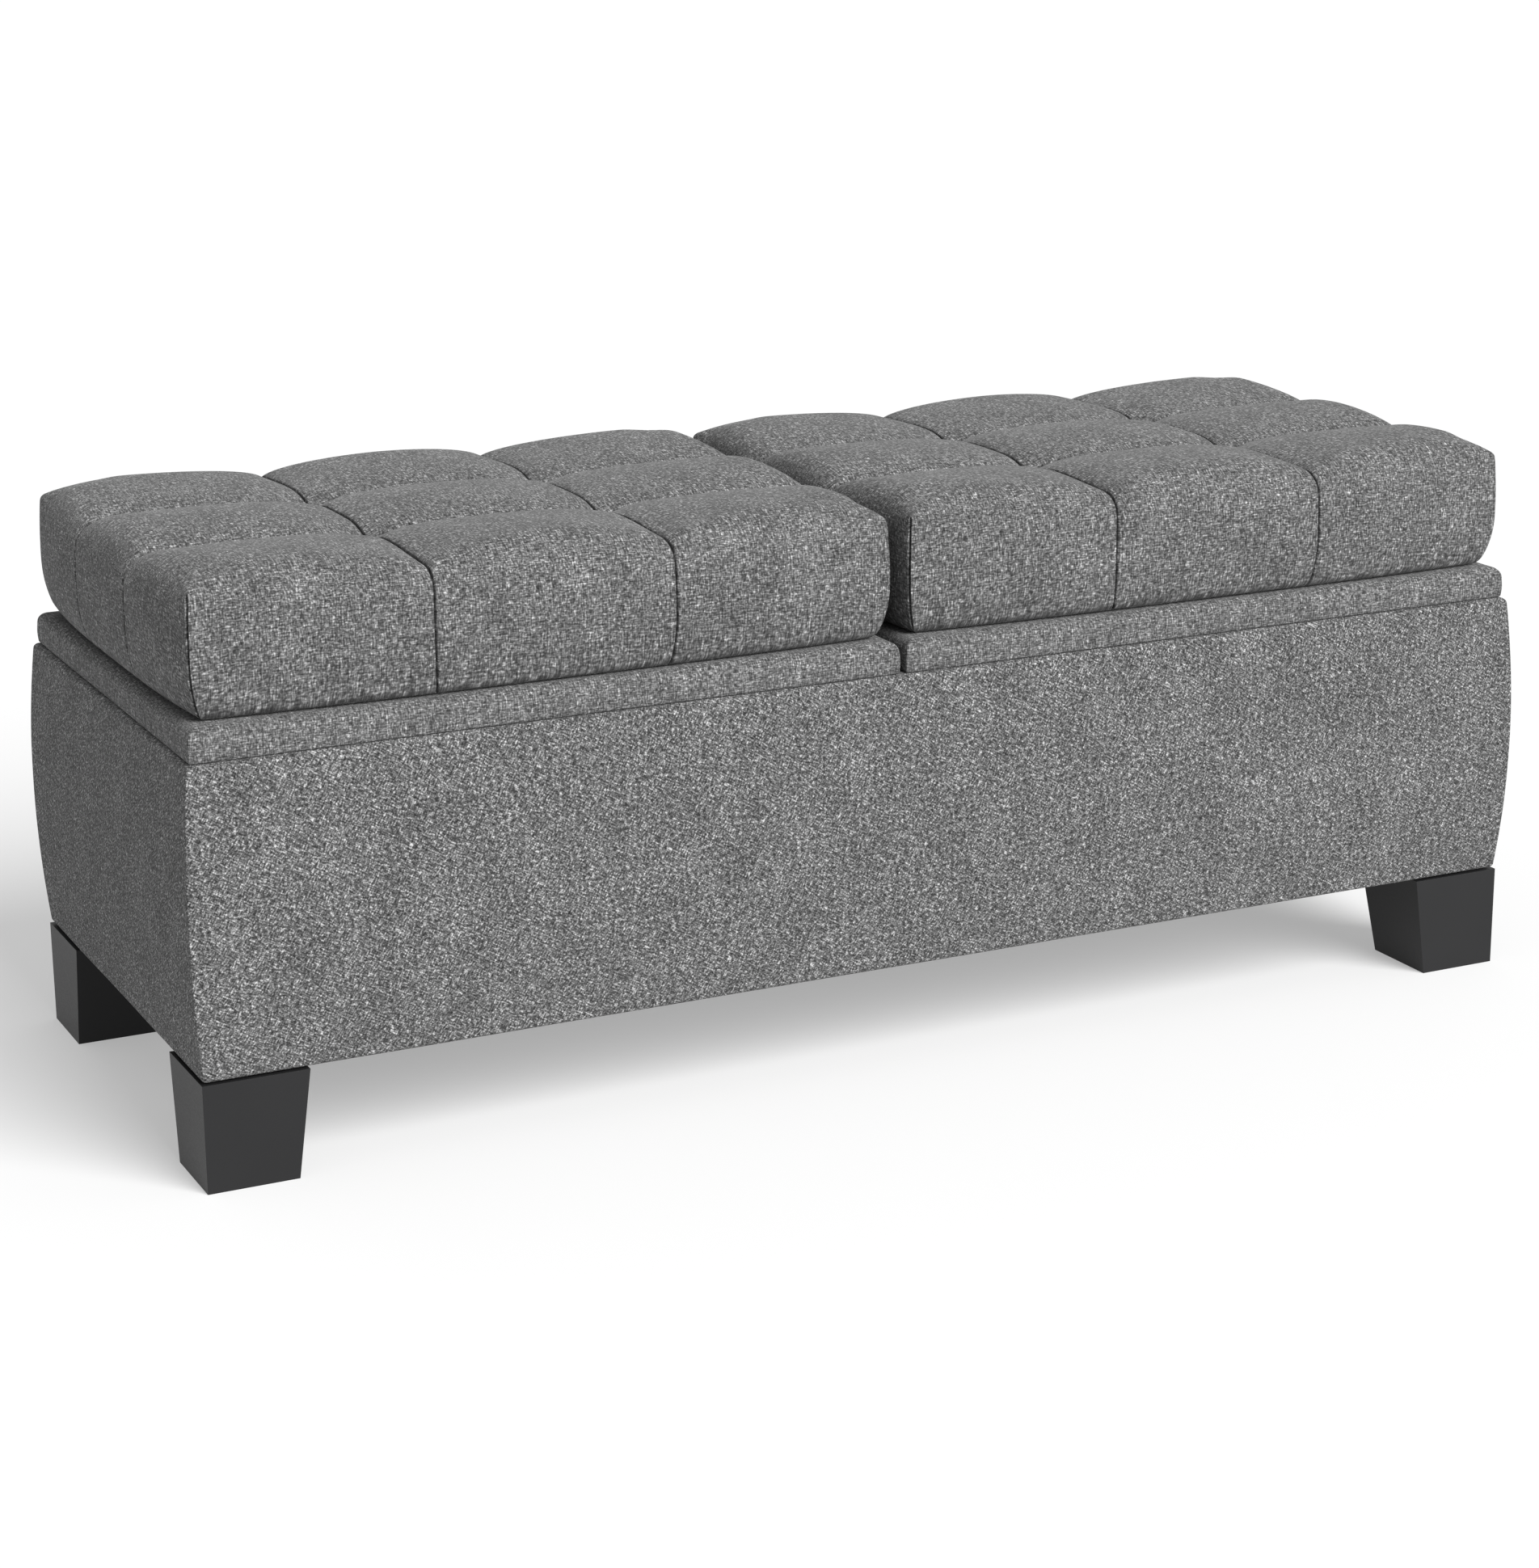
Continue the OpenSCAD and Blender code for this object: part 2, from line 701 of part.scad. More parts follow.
lid_band(-1);  // left_lid_band
lid_liner(-1);  // left_lid_liner
cushion_base(-1);  // left_cushion_base
cushion_foam(-1);  // left_cushion_foam
cushion_cover(-1);  // left_cushion_cover
tuft_ties(-1);  // left_tuft_ties
hinge_leaf(-1, 1, false);  // left_outer_hinge_lid_leaf
hinge_leaf(-1, -1, false);  // left_inner_hinge_lid_leaf
lid_screws(-1);  // left_lid_screws
cushion_screws(-1);  // left_cushion_screws
strut_lid_bracket(-1);  // left_strut_lid_bracket
lid_board(1);  // right_lid_board
lid_band(1);  // right_lid_band
lid_liner(1);  // right_lid_liner
cushion_base(1);  // right_cushion_base
cushion_foam(1);  // right_cushion_foam
cushion_cover(1);  // right_cushion_cover
tuft_ties(1);  // right_tuft_ties
hinge_leaf(1, 1, false);  // right_outer_hinge_lid_leaf
hinge_leaf(1, -1, false);  // right_inner_hinge_lid_leaf
lid_screws(1);  // right_lid_screws
cushion_screws(1);  // right_cushion_screws
strut_lid_bracket(1);  // right_strut_lid_bracket
strut_tube(-1);  // left_strut_tube
strut_tube(1);  // right_strut_tube
strut_rod(-1);  // left_strut_rod
strut_rod(1);  // right_strut_rod
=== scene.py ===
"""Upholstered storage bench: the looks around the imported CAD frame.

Everything is in metres in the row frame: +X right, -Y front, +Z up, origin on the floor.
"""

import json
import math

import bpy
import numpy as np
from mathutils import Matrix, Vector, noise


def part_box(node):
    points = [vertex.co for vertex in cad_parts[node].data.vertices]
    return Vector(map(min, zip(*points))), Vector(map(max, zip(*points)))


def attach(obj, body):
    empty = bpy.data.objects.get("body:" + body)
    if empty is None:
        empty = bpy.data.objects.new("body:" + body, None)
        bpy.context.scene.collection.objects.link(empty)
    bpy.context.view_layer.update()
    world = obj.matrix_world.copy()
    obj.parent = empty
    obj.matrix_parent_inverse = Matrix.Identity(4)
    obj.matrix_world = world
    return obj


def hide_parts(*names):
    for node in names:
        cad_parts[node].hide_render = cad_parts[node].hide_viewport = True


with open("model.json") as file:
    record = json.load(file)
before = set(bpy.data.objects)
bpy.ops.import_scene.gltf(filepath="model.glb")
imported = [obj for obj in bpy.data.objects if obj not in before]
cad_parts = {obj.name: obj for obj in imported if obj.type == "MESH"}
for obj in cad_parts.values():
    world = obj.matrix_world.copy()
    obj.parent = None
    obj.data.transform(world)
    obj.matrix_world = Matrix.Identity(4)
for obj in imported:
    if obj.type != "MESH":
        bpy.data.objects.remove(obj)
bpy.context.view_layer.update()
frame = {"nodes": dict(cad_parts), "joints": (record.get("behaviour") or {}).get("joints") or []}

SIDES = (-1, 1)
SIDE_NAME = {-1: "left", 1: "right"}
HINGE_ENDS = ("outer", "inner")
WEAVE_UV = "cloth"
SEAM_SHADE = "seam_shade"


# ---------------------------------------------------------------- sizes from the frame


def size_of(node):
    """Lowest corner, highest corner and middle of a CAD node."""
    lo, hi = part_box(node)
    lo, hi = np.array(lo), np.array(hi)
    return lo, hi, (lo + hi) / 2


BAND_LO, BAND_HI, BAND_MID = size_of("right_lid_band")
PAD_LO, PAD_HI, _ = size_of("rear_upholstery")
_, BOARD_HI, _ = size_of("rear_board")
JOINT_Y = BAND_HI[1]  # half depth of the box at its top edge
BOARD_X = BOARD_HI[0]  # outer faces of the box boards
BOARD_Y = BOARD_HI[1]
BULGE = PAD_HI[1] - JOINT_Y  # the padding stands out by this much at mid-height
EDGE_PAD = JOINT_Y - BOARD_Y  # and is this thick at the box's top edge
_, HINGE_Y, HINGE_Z = frame["joints"][0]["pos_m"]  # both lids turn on the same line


# ---------------------------------------------------------------- mesh helpers


def make_mesh(name, points, faces, uvs=None):
    """A smooth-shaded object. uvs holds one list of corner places, in metres, for each face."""
    mesh = bpy.data.meshes.new(name)
    mesh.from_pydata([tuple(p) for p in points], [], faces)
    mesh.polygons.foreach_set("use_smooth", [True] * len(mesh.polygons))
    if uvs is not None:
        layer = mesh.uv_layers.new(name=WEAVE_UV)
        flat = np.array([c for face in uvs for corner in face for c in corner], float)
        layer.data.foreach_set("uv", flat)
    mesh.update()
    obj = bpy.data.objects.new(name, mesh)
    bpy.context.scene.collection.objects.link(obj)
    return obj


def points_of(obj):
    """The object's vertex places as an array."""
    flat = np.zeros(len(obj.data.vertices) * 3)
    obj.data.vertices.foreach_get("co", flat)
    return flat.reshape(-1, 3)


def set_points(obj, points):
    """Moves the object's vertices."""
    obj.data.vertices.foreach_set("co", np.ascontiguousarray(points, float).ravel())
    obj.data.update()


def apply_modifiers(obj):
    """Replaces the object's mesh with what its modifiers make of it."""
    graph = bpy.context.evaluated_depsgraph_get()
    made = bpy.data.meshes.new_from_object(obj.evaluated_get(graph), depsgraph=graph)
    obj.modifiers.clear()
    obj.data = made


def subdivide(obj):
    """One round of Catmull-Clark smoothing."""
    mod = obj.modifiers.new("smooth", "SUBSURF")
    mod.levels = mod.render_levels = 1
    apply_modifiers(obj)


def fill_steps(marks, step):
    """marks with even steps between them, none wider than step."""
    out = [marks[0]]
    for a, b in zip(marks, marks[1:]):
        n = max(1, math.ceil((b - a) / step - 1e-6))
        out += [a + (b - a) * i / n for i in range(1, n + 1)]
    return out


def smooth_step(a, b, x):
    """0 at a and 1 at b, with a level start and end."""
    t = np.clip((x - a) / (b - a), 0, 1)
    return t * t * (3 - 2 * t)


# ---------------------------------------------------------------- materials


class Nodes:
    """Short names for building one node material."""

    def __init__(self, name, **shader):
        self.mat = bpy.data.materials.new(name)
        self.mat.use_nodes = True
        self.tree = self.mat.node_tree
        self.bsdf = self.tree.nodes["Principled BSDF"]
        for socket, value in shader.items():
            self.bsdf.inputs[socket.replace("_", " ")].default_value = value

    def add(self, kind, *inputs, **settings):
        """A new node: inputs by their order, settings by the name of a property or an input."""
        node = self.tree.nodes.new(kind)
        for key, value in settings.items():
            if key in node.bl_rna.properties:
                setattr(node, key, value)
            else:
                self.put(node.inputs[key.replace("_", " ")], value)
        for i, value in enumerate(inputs):
            if value is not None:
                self.put(node.inputs[i], value)
        return node

    def put(self, socket, value):
        """Links a socket or a node's first output to the input, or sets its value."""
        if isinstance(value, bpy.types.NodeSocket):
            self.tree.links.new(value, socket)
        elif isinstance(value, bpy.types.Node):
            self.tree.links.new(value.outputs[0], socket)
        else:
            socket.default_value = value

    def math(self, operation, a, b=0.0, c=0.0):
        return self.add("ShaderNodeMath", a, b, c, operation=operation).outputs[0]

    def scaled(self, vector, scale):
        """vector times scale, one factor for each axis."""
        return self.add("ShaderNodeVectorMath", vector, scale, operation="MULTIPLY").outputs[0]

    def noise(self, vector, scale, detail=2.0, roughness=0.5):
        node = self.add("ShaderNodeTexNoise", Vector=vector, Scale=scale, Detail=detail)
        node.inputs["Roughness"].default_value = roughness
        return node.outputs["Fac"]

    def uv(self):
        """Place on the cloth, in metres."""
        return self.add("ShaderNodeUVMap", uv_map=WEAVE_UV).outputs[0]

    def place(self):
        """Place in the object, in metres."""
        return self.add("ShaderNodeTexCoord").outputs["Object"]

    def grey(self, value):
        """The same value in red, green and blue."""
        return self.add("ShaderNodeCombineColor", value, value, value).outputs[0]

    def tinted(self, value, colour):
        """colour times value."""
        return self.scaled(self.grey(value), colour)

    def bump(self, height, distance, strength):
        """Fine relief, on top of the shape."""
        node = self.add("ShaderNodeBump", Height=height, Distance=distance, Strength=strength)
        self.put(self.bsdf.inputs["Normal"], node.outputs[0])


YARN_DASH = 0.28  # a yarn shows as a dash: its width over its length
BRIGHTEST = 5.5  # the palest yarns, as a multiple of the cloth's tone
PAINTED_SEAM_SHADE = 0.72  # painted shade: the cloth's colour is darkened by this much deep in a seam, for the groove's shadow


def heather(name, tone, yarn, contrast, mottle, slub, streak, lean=0.0, seam_shaded=False):
    """Heathered woven cloth: salt and pepper yarns, with soft cloudy and streaked mottling.

    yarn is a yarn's width in metres. contrast, mottle and slub are the strengths of the yarns, of
    the clouds and of single thick yarns. streak stretches the clouds. lean turns the yarns'
    short dashes away from the cloth's length, in degrees. The last argument is for a piece whose
    mesh says how deep in a seam each point is; there its colour is darkened as painted seam shade.
    """
    n = Nodes(name, Roughness=0.95, Sheen_Weight=0.08, Sheen_Roughness=0.5)
    n.bsdf.inputs["Specular IOR Level"].default_value = 0.12
    uv = n.uv()
    turned = n.add("ShaderNodeVectorRotate", Vector=uv, Angle=math.radians(lean)).outputs[0]
    per_yarn = 1 / yarn
    warp = n.noise(n.scaled(turned, (per_yarn, per_yarn * YARN_DASH, 1)), 1.0, 1.0)
    weft = n.noise(n.scaled(turned, (per_yarn * YARN_DASH, per_yarn, 1)), 1.0, 1.0)
    pepper = n.noise(n.scaled(uv, (per_yarn, per_yarn, 1)), 0.8, 2.0, 0.6)
    woven = n.math("MULTIPLY", n.math("ADD", warp, weft), 0.85)
    grain = n.math("MULTIPLY_ADD", pepper, 0.7, woven)
    fine = n.math("MULTIPLY_ADD", grain, contrast, -1.2 * contrast)  # grain is 1.2 on average
    drawn = n.scaled(uv, (streak[0], streak[1], 1))
    patch = n.noise(drawn, 150.0, 3.0, 0.65)
    cloud = n.noise(drawn, 26.0, 3.0)
    long_yarn = n.noise(n.scaled(uv, (620, 34, 1)), 1.0, 2.0)
    cross_yarn = n.noise(n.scaled(uv, (30, 560, 1)), 1.0, 2.0)
    soft = n.math("ADD", n.math("MULTIPLY_ADD", patch, mottle, -0.5 * mottle),
                  n.math("MULTIPLY_ADD", cloud, 0.5 * mottle, -0.25 * mottle))
    soft = n.math("ADD", soft, n.math("MULTIPLY_ADD", long_yarn, slub, -0.5 * slub))
    soft = n.math("ADD", soft, n.math("MULTIPLY_ADD", cross_yarn, 0.7 * slub, -0.35 * slub))
    value = n.math("MINIMUM", n.math("POWER", math.e, n.math("ADD", fine, soft)), BRIGHTEST)
    # painted shade: darker colour along the seams and upright corners, for the shadow in their
    # grooves
    if seam_shaded:
        shade = n.add("ShaderNodeAttribute", attribute_name=SEAM_SHADE).outputs["Fac"]
        value = n.math("MULTIPLY", value, n.math("MULTIPLY_ADD", shade, -PAINTED_SEAM_SHADE, 1.0))
    n.put(n.bsdf.inputs["Base Color"], n.tinted(value, (tone, tone, tone)))
    n.bump(grain, yarn * 0.35, 0.5)
    return n.mat


def satin_black(name):
    """Satin feet: near black with a fine even texture."""
    n = Nodes(name, Roughness=0.5)
    n.bsdf.inputs["Specular IOR Level"].default_value = 0.25
    where = n.place()
    speck = n.noise(where, 900.0, 2.0)
    wear = n.noise(where, 14.0, 3.0)
    value = n.math("MULTIPLY_ADD", wear, 0.25, n.math("MULTIPLY_ADD", speck, 0.12, 0.82))
    n.put(n.bsdf.inputs["Base Color"], n.tinted(value, (0.0085, 0.0085, 0.009)))
    n.put(n.bsdf.inputs["Roughness"], n.math("MULTIPLY_ADD", speck, 0.18, 0.34))
    n.bump(speck, 0.00012, 0.4)
    return n.mat


def particle_board(name, colour, along=(1, 1, 1), chips=260.0):
    """Raw board: pressed chips, or grain when it is drawn out along an axis."""
    n = Nodes(name, Roughness=0.8)
    where = n.scaled(n.place(), along)
    cells = n.add("ShaderNodeTexVoronoi", Vector=where, Scale=chips)
    chip = n.add("ShaderNodeSeparateColor", cells.outputs["Color"]).outputs[0]
    fibre = n.noise(where, chips * 0.35, 4.0, 0.65)
    value = n.math("ADD", n.math("MULTIPLY_ADD", chip, 0.28, 0.72),
                   n.math("MULTIPLY_ADD", fibre, 0.4, -0.2))
    n.put(n.bsdf.inputs["Base Color"], n.tinted(value, colour))
    n.bump(chip, 0.0003, 0.25)
    return n.mat


def metal(name, colour, roughness, brushed=(1, 1, 1), metallic=1.0):
    """Plated, brushed or painted metal."""
    n = Nodes(name, Metallic=metallic)
    where = n.scaled(n.place(), brushed)
    scratch = n.noise(where, 1400.0, 2.0, 0.6)
    stain = n.noise(where, 60.0, 3.0)
    n.put(n.bsdf.inputs["Roughness"], n.math("MULTIPLY_ADD", scratch, 0.25, roughness - 0.1))
    n.put(n.bsdf.inputs["Base Color"], n.tinted(n.math("MULTIPLY_ADD", stain, 0.3, 0.85), colour))
    n.bump(scratch, 0.00004, 0.5)
    return n.mat


def nonwoven(name, colour):
    """Thin bonded cloth with a dimpled pattern, as used for linings and dust covers."""
    n = Nodes(name, Roughness=0.85, Sheen_Weight=0.1)
    where = n.place()
    dimple = n.add("ShaderNodeTexVoronoi", Vector=where, Scale=620.0).outputs["Distance"]
    fibre = n.noise(where, 500.0, 4.0, 0.7)
    value = n.math("MULTIPLY_ADD", fibre, 0.9, n.math("MULTIPLY_ADD", dimple, 0.5, 0.4))
    n.put(n.bsdf.inputs["Base Color"], n.tinted(value, colour))
    n.bump(dimple, 0.0002, 0.5)
    return n.mat


BOX_CLOTH = heather("box_chenille", 0.067, 0.0012, 5.2, 1.6, 0.6, streak=(1.0, 0.5), lean=30)
# the cushion cloth carries painted seam shade along its seams and upright corners
LID_CLOTH = heather("cushion_linen", 0.070, 0.0013, 4.2, 1.6, 1.4, streak=(1.0, 0.6), seam_shaded=True)
BAND_CLOTH = heather("band_linen", 0.072, 0.0012, 3.9, 1.5, 1.4, streak=(1.0, 0.6))
FOOT_BLACK = satin_black("foot_black")
BOARD = particle_board("pressed_board", (0.41, 0.295, 0.18))
TIMBER = particle_board("glue_block_timber", (0.49, 0.35, 0.205), (1, 1, 0.08), 160.0)
PLY = particle_board("plywood", (0.46, 0.335, 0.205), (0.06, 1, 1), 120.0)
LINING = nonwoven("lining_black", (0.017, 0.017, 0.0185))
DUST = nonwoven("dust_cloth", (0.014, 0.014, 0.015))
HINGE = metal("hinge_nickel", (0.56, 0.55, 0.53), 0.32, (0.1, 1, 1))
ZINC = metal("zinc_plate", (0.62, 0.62, 0.60), 0.38)
ROD = metal("strut_rod_chrome", (0.70, 0.70, 0.71), 0.14)
BLACK_METAL = metal("painted_black", (0.022, 0.022, 0.024), 0.45, metallic=0.0)


# ---------------------------------------------------------------- cushions

SEAM_X = 0.099  # sewn channels from the middle of the cushion
SEAM_Y = 0.069
CORNER_IN = (0.0051, 0.0065)  # the sewn corners stand in from the band
CREST_DOWN = 0.0056  # the cells' crests below the room the cushion has
CROWN_FULL = 1.85  # a higher power makes the cells flatter on top
VALLEY = 0.0137  # channels below the crest
TUFT_DIP = 0.007  # where the channels cross they are drawn down further
TUFT_WIDE = 0.022  # and within about this distance
EDGE_FALL = 0.0050  # the channels fall towards the cushion's sides
EDGE_FALL_FROM = 0.55  # from this far out, as a part of the half width
OUTER_CREST = 0.70  # an outer cell is fullest this far from its seam to the side
CORNER_FALL = 0.89  # a corner cell falls by this much of its crown towards the sewn corner
CORNER_CURVE = 0.8
ROLL_CORNER = 0.004  # roll of the top edge at the corners, along the seams and in mid-cell
ROLL_SEAM = 0.014
ROLL_CELL = 0.032
ROLL_LOW = 0.009  # roll of the bottom edge
NEAR_EDGE = 0.046  # grid lines follow the edge roll within this distance
ROLL_ANGLES = (45, 57, 69, 80, 90)  # grid lines over the roll, then beyond it
BLEND_LINES = (0.22, 0.45, 0.7, 1.0)
LOW_ANGLES = (45, 25, 0)  # grid lines up the bottom roll, and up to the middle of the top roll
HIGH_ANGLES = (0, 12, 24, 35, 45)
SIDE_STEPS = 14  # steps between the two rolls
TOP_STEP = 0.0068  # widest step of the top's grid
NEAR_SEAM_X = (0.0011, 0.0028, 0.006, 0.011)  # extra grid lines beside the seams
NEAR_SEAM_Y = (0.0017, 0.0034, 0.006, 0.011)
BELLY_UP = 0.048  # height of the sides' fullest line above the band
TUCK = 0.0095  # the sides draw in by this much at their foot
TUCK_CURVE = 2.3
LEAN = 0.0018  # and a little towards their top
SWELL = 0.0075  # and stand out between the corners by this much
SWELL_FLAT = 3.2  # a higher power keeps the swelling even up to the corners
SWELL_EDGE = 5  # a higher power keeps it nearer to the side
CLOTH_FRAMES = 20
CLOTH_CAP = 0.0022  # the cloth simulation moves no point by more than this
SEAM_DEPTH = 0.0045  # the seams are drawn in by this much
SEAM_SHARP = 1.2
END_SEAM_LESS = 0.7  # but on the cushion's ends by this part less
CORNER_DEPTH = 0.0028  # the upright corner seams are drawn in by this much


def edge_distance(m, roll):
    """Distance of near-edge grid line m from the side, for a local roll radius."""
    if m < len(ROLL_ANGLES):
        return roll * (1 - math.cos(math.radians(ROLL_ANGLES[m])))
    return roll + (NEAR_EDGE - roll) * BLEND_LINES[m - len(ROLL_ANGLES)]


def crown(s):
    """Height across a cell, s from -1 to 1 between its seams."""
    return (1 - abs(s) ** CROWN_FULL) ** 0.5 if abs(s) < 1 else 0.0


def cell_place(d, seam, half):
    """Where distance d from the middle is in its cell, from -1 to 1, with 0 at its crest.

    The last cell ends at half.
    """
    d = abs(d)
    if d <= seam:
        return d / seam
    t = (d - seam) / (half - seam)
    return t / OUTER_CREST - 1 if t < OUTER_CREST else (t - OUTER_CREST) / (1 - OUTER_CREST)


def cell_shape(d, seam, half):
    """Crown of the cells at distance d from the middle, with seams at seam and a side at half."""
    s = cell_place(d, seam, half)
    return 1.0 if abs(d) > seam and s > 0 else crown(s)


def outer_place(d, seam, half):
    """0 up to the crest of the outermost cell, and 1 at the side."""
    return max(0.0, cell_place(d, seam, half)) if abs(d) > seam else 0.0


def roll_along(d, seam, half):
    """Edge roll radius at distance d along a side."""
    s = cell_place(d, seam, half)
    if abs(d) > seam and s > 0:
        return ROLL_CORNER + (ROLL_CELL - ROLL_CORNER) * float(smooth_step(1.0, 0.0, s))
    return ROLL_SEAM + (ROLL_CELL - ROLL_SEAM) * crown(s)


def roll_drop(d, radius):
    """How far a rolled edge has dropped at distance d from its side."""
    if d >= radius:
        return 0.0
    return radius - math.sqrt(max(0.0, radius**2 - (radius - d) ** 2))


class CushionGrid:
    """A closed box of quads whose lines follow the cushion's seams and edges."""

    def __init__(self, hx, hy, z0, z1):
        self.hx, self.hy, self.z0, self.z1 = hx, hy, z0, z1
        self.edge_lines = len(ROLL_ANGLES) + len(BLEND_LINES)
        self.xs = self.lines(hx, SEAM_X, NEAR_SEAM_X)
        self.ys = self.lines(hy, SEAM_Y, NEAR_SEAM_Y)
        self.side = self.side_lines()
        self.shape = (len(self.xs) - 1, len(self.ys) - 1, len(self.side) - 1)
        self.build()

    def lines(self, half, seam, near_seam):
        """The outer lines are known by number, as they follow the edge roll, the rest by place."""
        inner = half - NEAR_EDGE
        marks = {-inner, 0.0, inner}
        for s in SIDES:
            marks |= {s * seam} | {s * seam + t * d for t in SIDES for d in near_seam}
        places = fill_steps(sorted(marks), TOP_STEP)[1:-1]
        low = [("low", m) for m in range(self.edge_lines)]
        return low + [("at", p) for p in places] + [("high", m) for _, m in reversed(low)]

    def side_lines(self):
        """From the bottom edge to the top edge: how each line's height is worked out."""
        low = [("low", a) for a in LOW_ANGLES]
        middle = [("mid", t) for t in np.linspace(0, 1, SIDE_STEPS + 1)[1:-1]]
        return low + middle + [("high", a) for a in HIGH_ANGLES]

    def along(self, line, half, roll):
        """Place of a grid line, for a local roll radius."""
        kind, value = line
        if kind == "at":
            return value
        d = half - edge_distance(value, roll)
        return d if kind == "high" else -d

    def height(self, x, y):
        """Height of the tight top, before its edge roll."""
        near = max(abs(x) / self.hx, abs(y) / self.hy)
        valley = self.z1 - VALLEY - EDGE_FALL * float(smooth_step(EDGE_FALL_FROM, 1.0, near))
        from_tuft = math.hypot(abs(x) - SEAM_X, abs(y) - SEAM_Y)
        valley -= TUFT_DIP * math.exp(-((from_tuft / TUFT_WIDE) ** 2))
        bump = cell_shape(x, SEAM_X, self.hx) * cell_shape(y, SEAM_Y, self.hy)
        to_corner = outer_place(x, SEAM_X, self.hx) * outer_place(y, SEAM_Y, self.hy)
        bump *= 1 - CORNER_FALL * to_corner**CORNER_CURVE
        return valley + (self.z1 - valley) * bump

    def swollen(self, x, y, z):
        """Lets the sides stand out between the corners and draw in towards the band."""
        hx, hy = self.hx, self.hy
        up = (z - self.z0 - BELLY_UP) / BELLY_UP
        tuck = TUCK * max(0.0, -up) ** TUCK_CURVE + LEAN * min(1.0, max(0.0, up)) ** 2
        near_x, near_y = min(1, abs(x) / hx), min(1, abs(y) / hy)
        swell_x = SWELL * (1 - near_y**SWELL_FLAT) * near_x**SWELL_EDGE
        swell_y = SWELL * (1 - near_x**SWELL_FLAT) * near_y**SWELL_EDGE
        out_x = swell_x - tuck * abs(x) / hx
        out_y = swell_y - tuck * abs(y) / hy
        return x + math.copysign(1, x) * out_x, y + math.copysign(1, y) * out_y, z

    def point(self, i, j, k):
        """Place of grid point i, j, k, counted along x, along y and up the sides."""
        ni, nj, nk = self.shape
        hx, hy = self.hx, self.hy
        x = self.along(self.xs[i], hx, ROLL_CORNER)
        y = self.along(self.ys[j], hy, ROLL_CORNER)
        if k == nk:
            roll_x, roll_y = roll_along(y, SEAM_Y, hy), roll_along(x, SEAM_X, hx)
            x, y = self.along(self.xs[i], hx, roll_x), self.along(self.ys[j], hy, roll_y)
            drop = max(roll_drop(hx - abs(x), roll_x), roll_drop(hy - abs(y), roll_y))
            return self.swollen(x, y, self.height(x, y) - drop)
        kind, value = self.side[k]
        on_x, on_y = i in (0, ni), j in (0, nj)
        if k == 0 and not (on_x or on_y):
            inset = ROLL_LOW * (1 - math.cos(math.radians(LOW_ANGLES[0])))
            x, y = x * (1 - inset / hx), y * (1 - inset / hy)
            d = min(hx - abs(x), hy - abs(y))
            return self.swollen(x, y, self.z0 + roll_drop(d, ROLL_LOW))
        roll = ROLL_CORNER
        if not (on_x and on_y):
            roll = roll_along(y, SEAM_Y, hy) if on_x else roll_along(x, SEAM_X, hx)
        edge_x = math.copysign(hx, x) if on_x else x
        edge_y = math.copysign(hy, y) if on_y else y
        top = self.height(edge_x, edge_y)
        if kind == "low":
            a = math.radians(value)
            inset, z = ROLL_LOW * (1 - math.cos(a)), self.z0 + ROLL_LOW * (1 - math.sin(a))
        elif kind == "high":
            a = math.radians(value)
            inset, z = roll * (1 - math.cos(a)), top - roll * (1 - math.sin(a))
        else:
            foot = self.z0 + ROLL_LOW
            inset, z = 0.0, foot + (top - roll - foot) * value
        if on_x:
            x = math.copysign(hx - inset, x)
        if on_y:
            y = math.copysign(hy - inset, y)
        return self.swollen(x, y, z)

    def build(self):
        """Points on the six sides of the box, and the quads between them."""
        ni, nj, nk = self.shape
        self.index, self.points, self.keys = {}, [], []
        for k in range(nk + 1):
            for j in range(nj + 1):
                for i in range(ni + 1):
                    if i in (0, ni) or j in (0, nj) or k in (0, nk):
                        self.index[i, j, k] = len(self.points)
                        self.points.append(self.point(i, j, k))
                        self.keys.append((i, j, k))
        self.faces, self.uvs = [], []
        for i in range(ni):
            for j in range(nj):
                self.quad([(i, j, nk), (i + 1, j, nk), (i + 1, j + 1, nk), (i, j + 1, nk)], "top")
                self.quad([(i, j, 0), (i, j + 1, 0), (i + 1, j + 1, 0), (i + 1, j, 0)], "top")
        for k in range(nk):
            for i in range(ni):
                self.quad([(i, 0, k), (i + 1, 0, k), (i + 1, 0, k + 1), (i, 0, k + 1)], "y")
                self.quad([(i, nj, k), (i, nj, k + 1), (i + 1, nj, k + 1), (i + 1, nj, k)], "y")
            for j in range(nj):
                self.quad([(0, j, k), (0, j, k + 1), (0, j + 1, k + 1), (0, j + 1, k)], "x")
                self.quad([(ni, j, k), (ni, j + 1, k), (ni, j + 1, k + 1), (ni, j, k + 1)], "x")

    def quad(self, keys, side):
        """One face. The cloth's pattern runs from the top down over each side."""
        at = [self.index[key] for key in keys]
        self.faces.append(at)
        corners = []
        for a in at:
            x, y, z = self.points[a]
            if side == "y":
                y = math.copysign(abs(y) + self.z1 - z, y)
            if side == "x":
                x = math.copysign(abs(x) + self.z1 - z, x)
            corners.append((x, y))
        self.uvs.append(corners)

    def chosen(self, what):
        """Which points lie on the seams, on the upright corners or near the bottom."""
        keys = np.array(self.keys)
        ni, nj, nk = self.shape
        on_x, on_y = np.isin(keys[:, 0], (0, ni)), np.isin(keys[:, 1], (0, nj))
        if what == "corner":
            return on_x & on_y
        if what == "low":
            return keys[:, 2] <= 2
        top = keys[:, 2] == nk
        seam_i, seam_j = (
            [n for n, (kind, at) in enumerate(lines) if kind == "at" and abs(abs(at) - seam) < 1e-6]
            for lines, seam in ((self.xs, SEAM_X), (self.ys, SEAM_Y)))
        across = np.isin(keys[:, 0], seam_i) & (top | on_y)
        along = np.isin(keys[:, 1], seam_j) & (top | on_x)
        return across | along


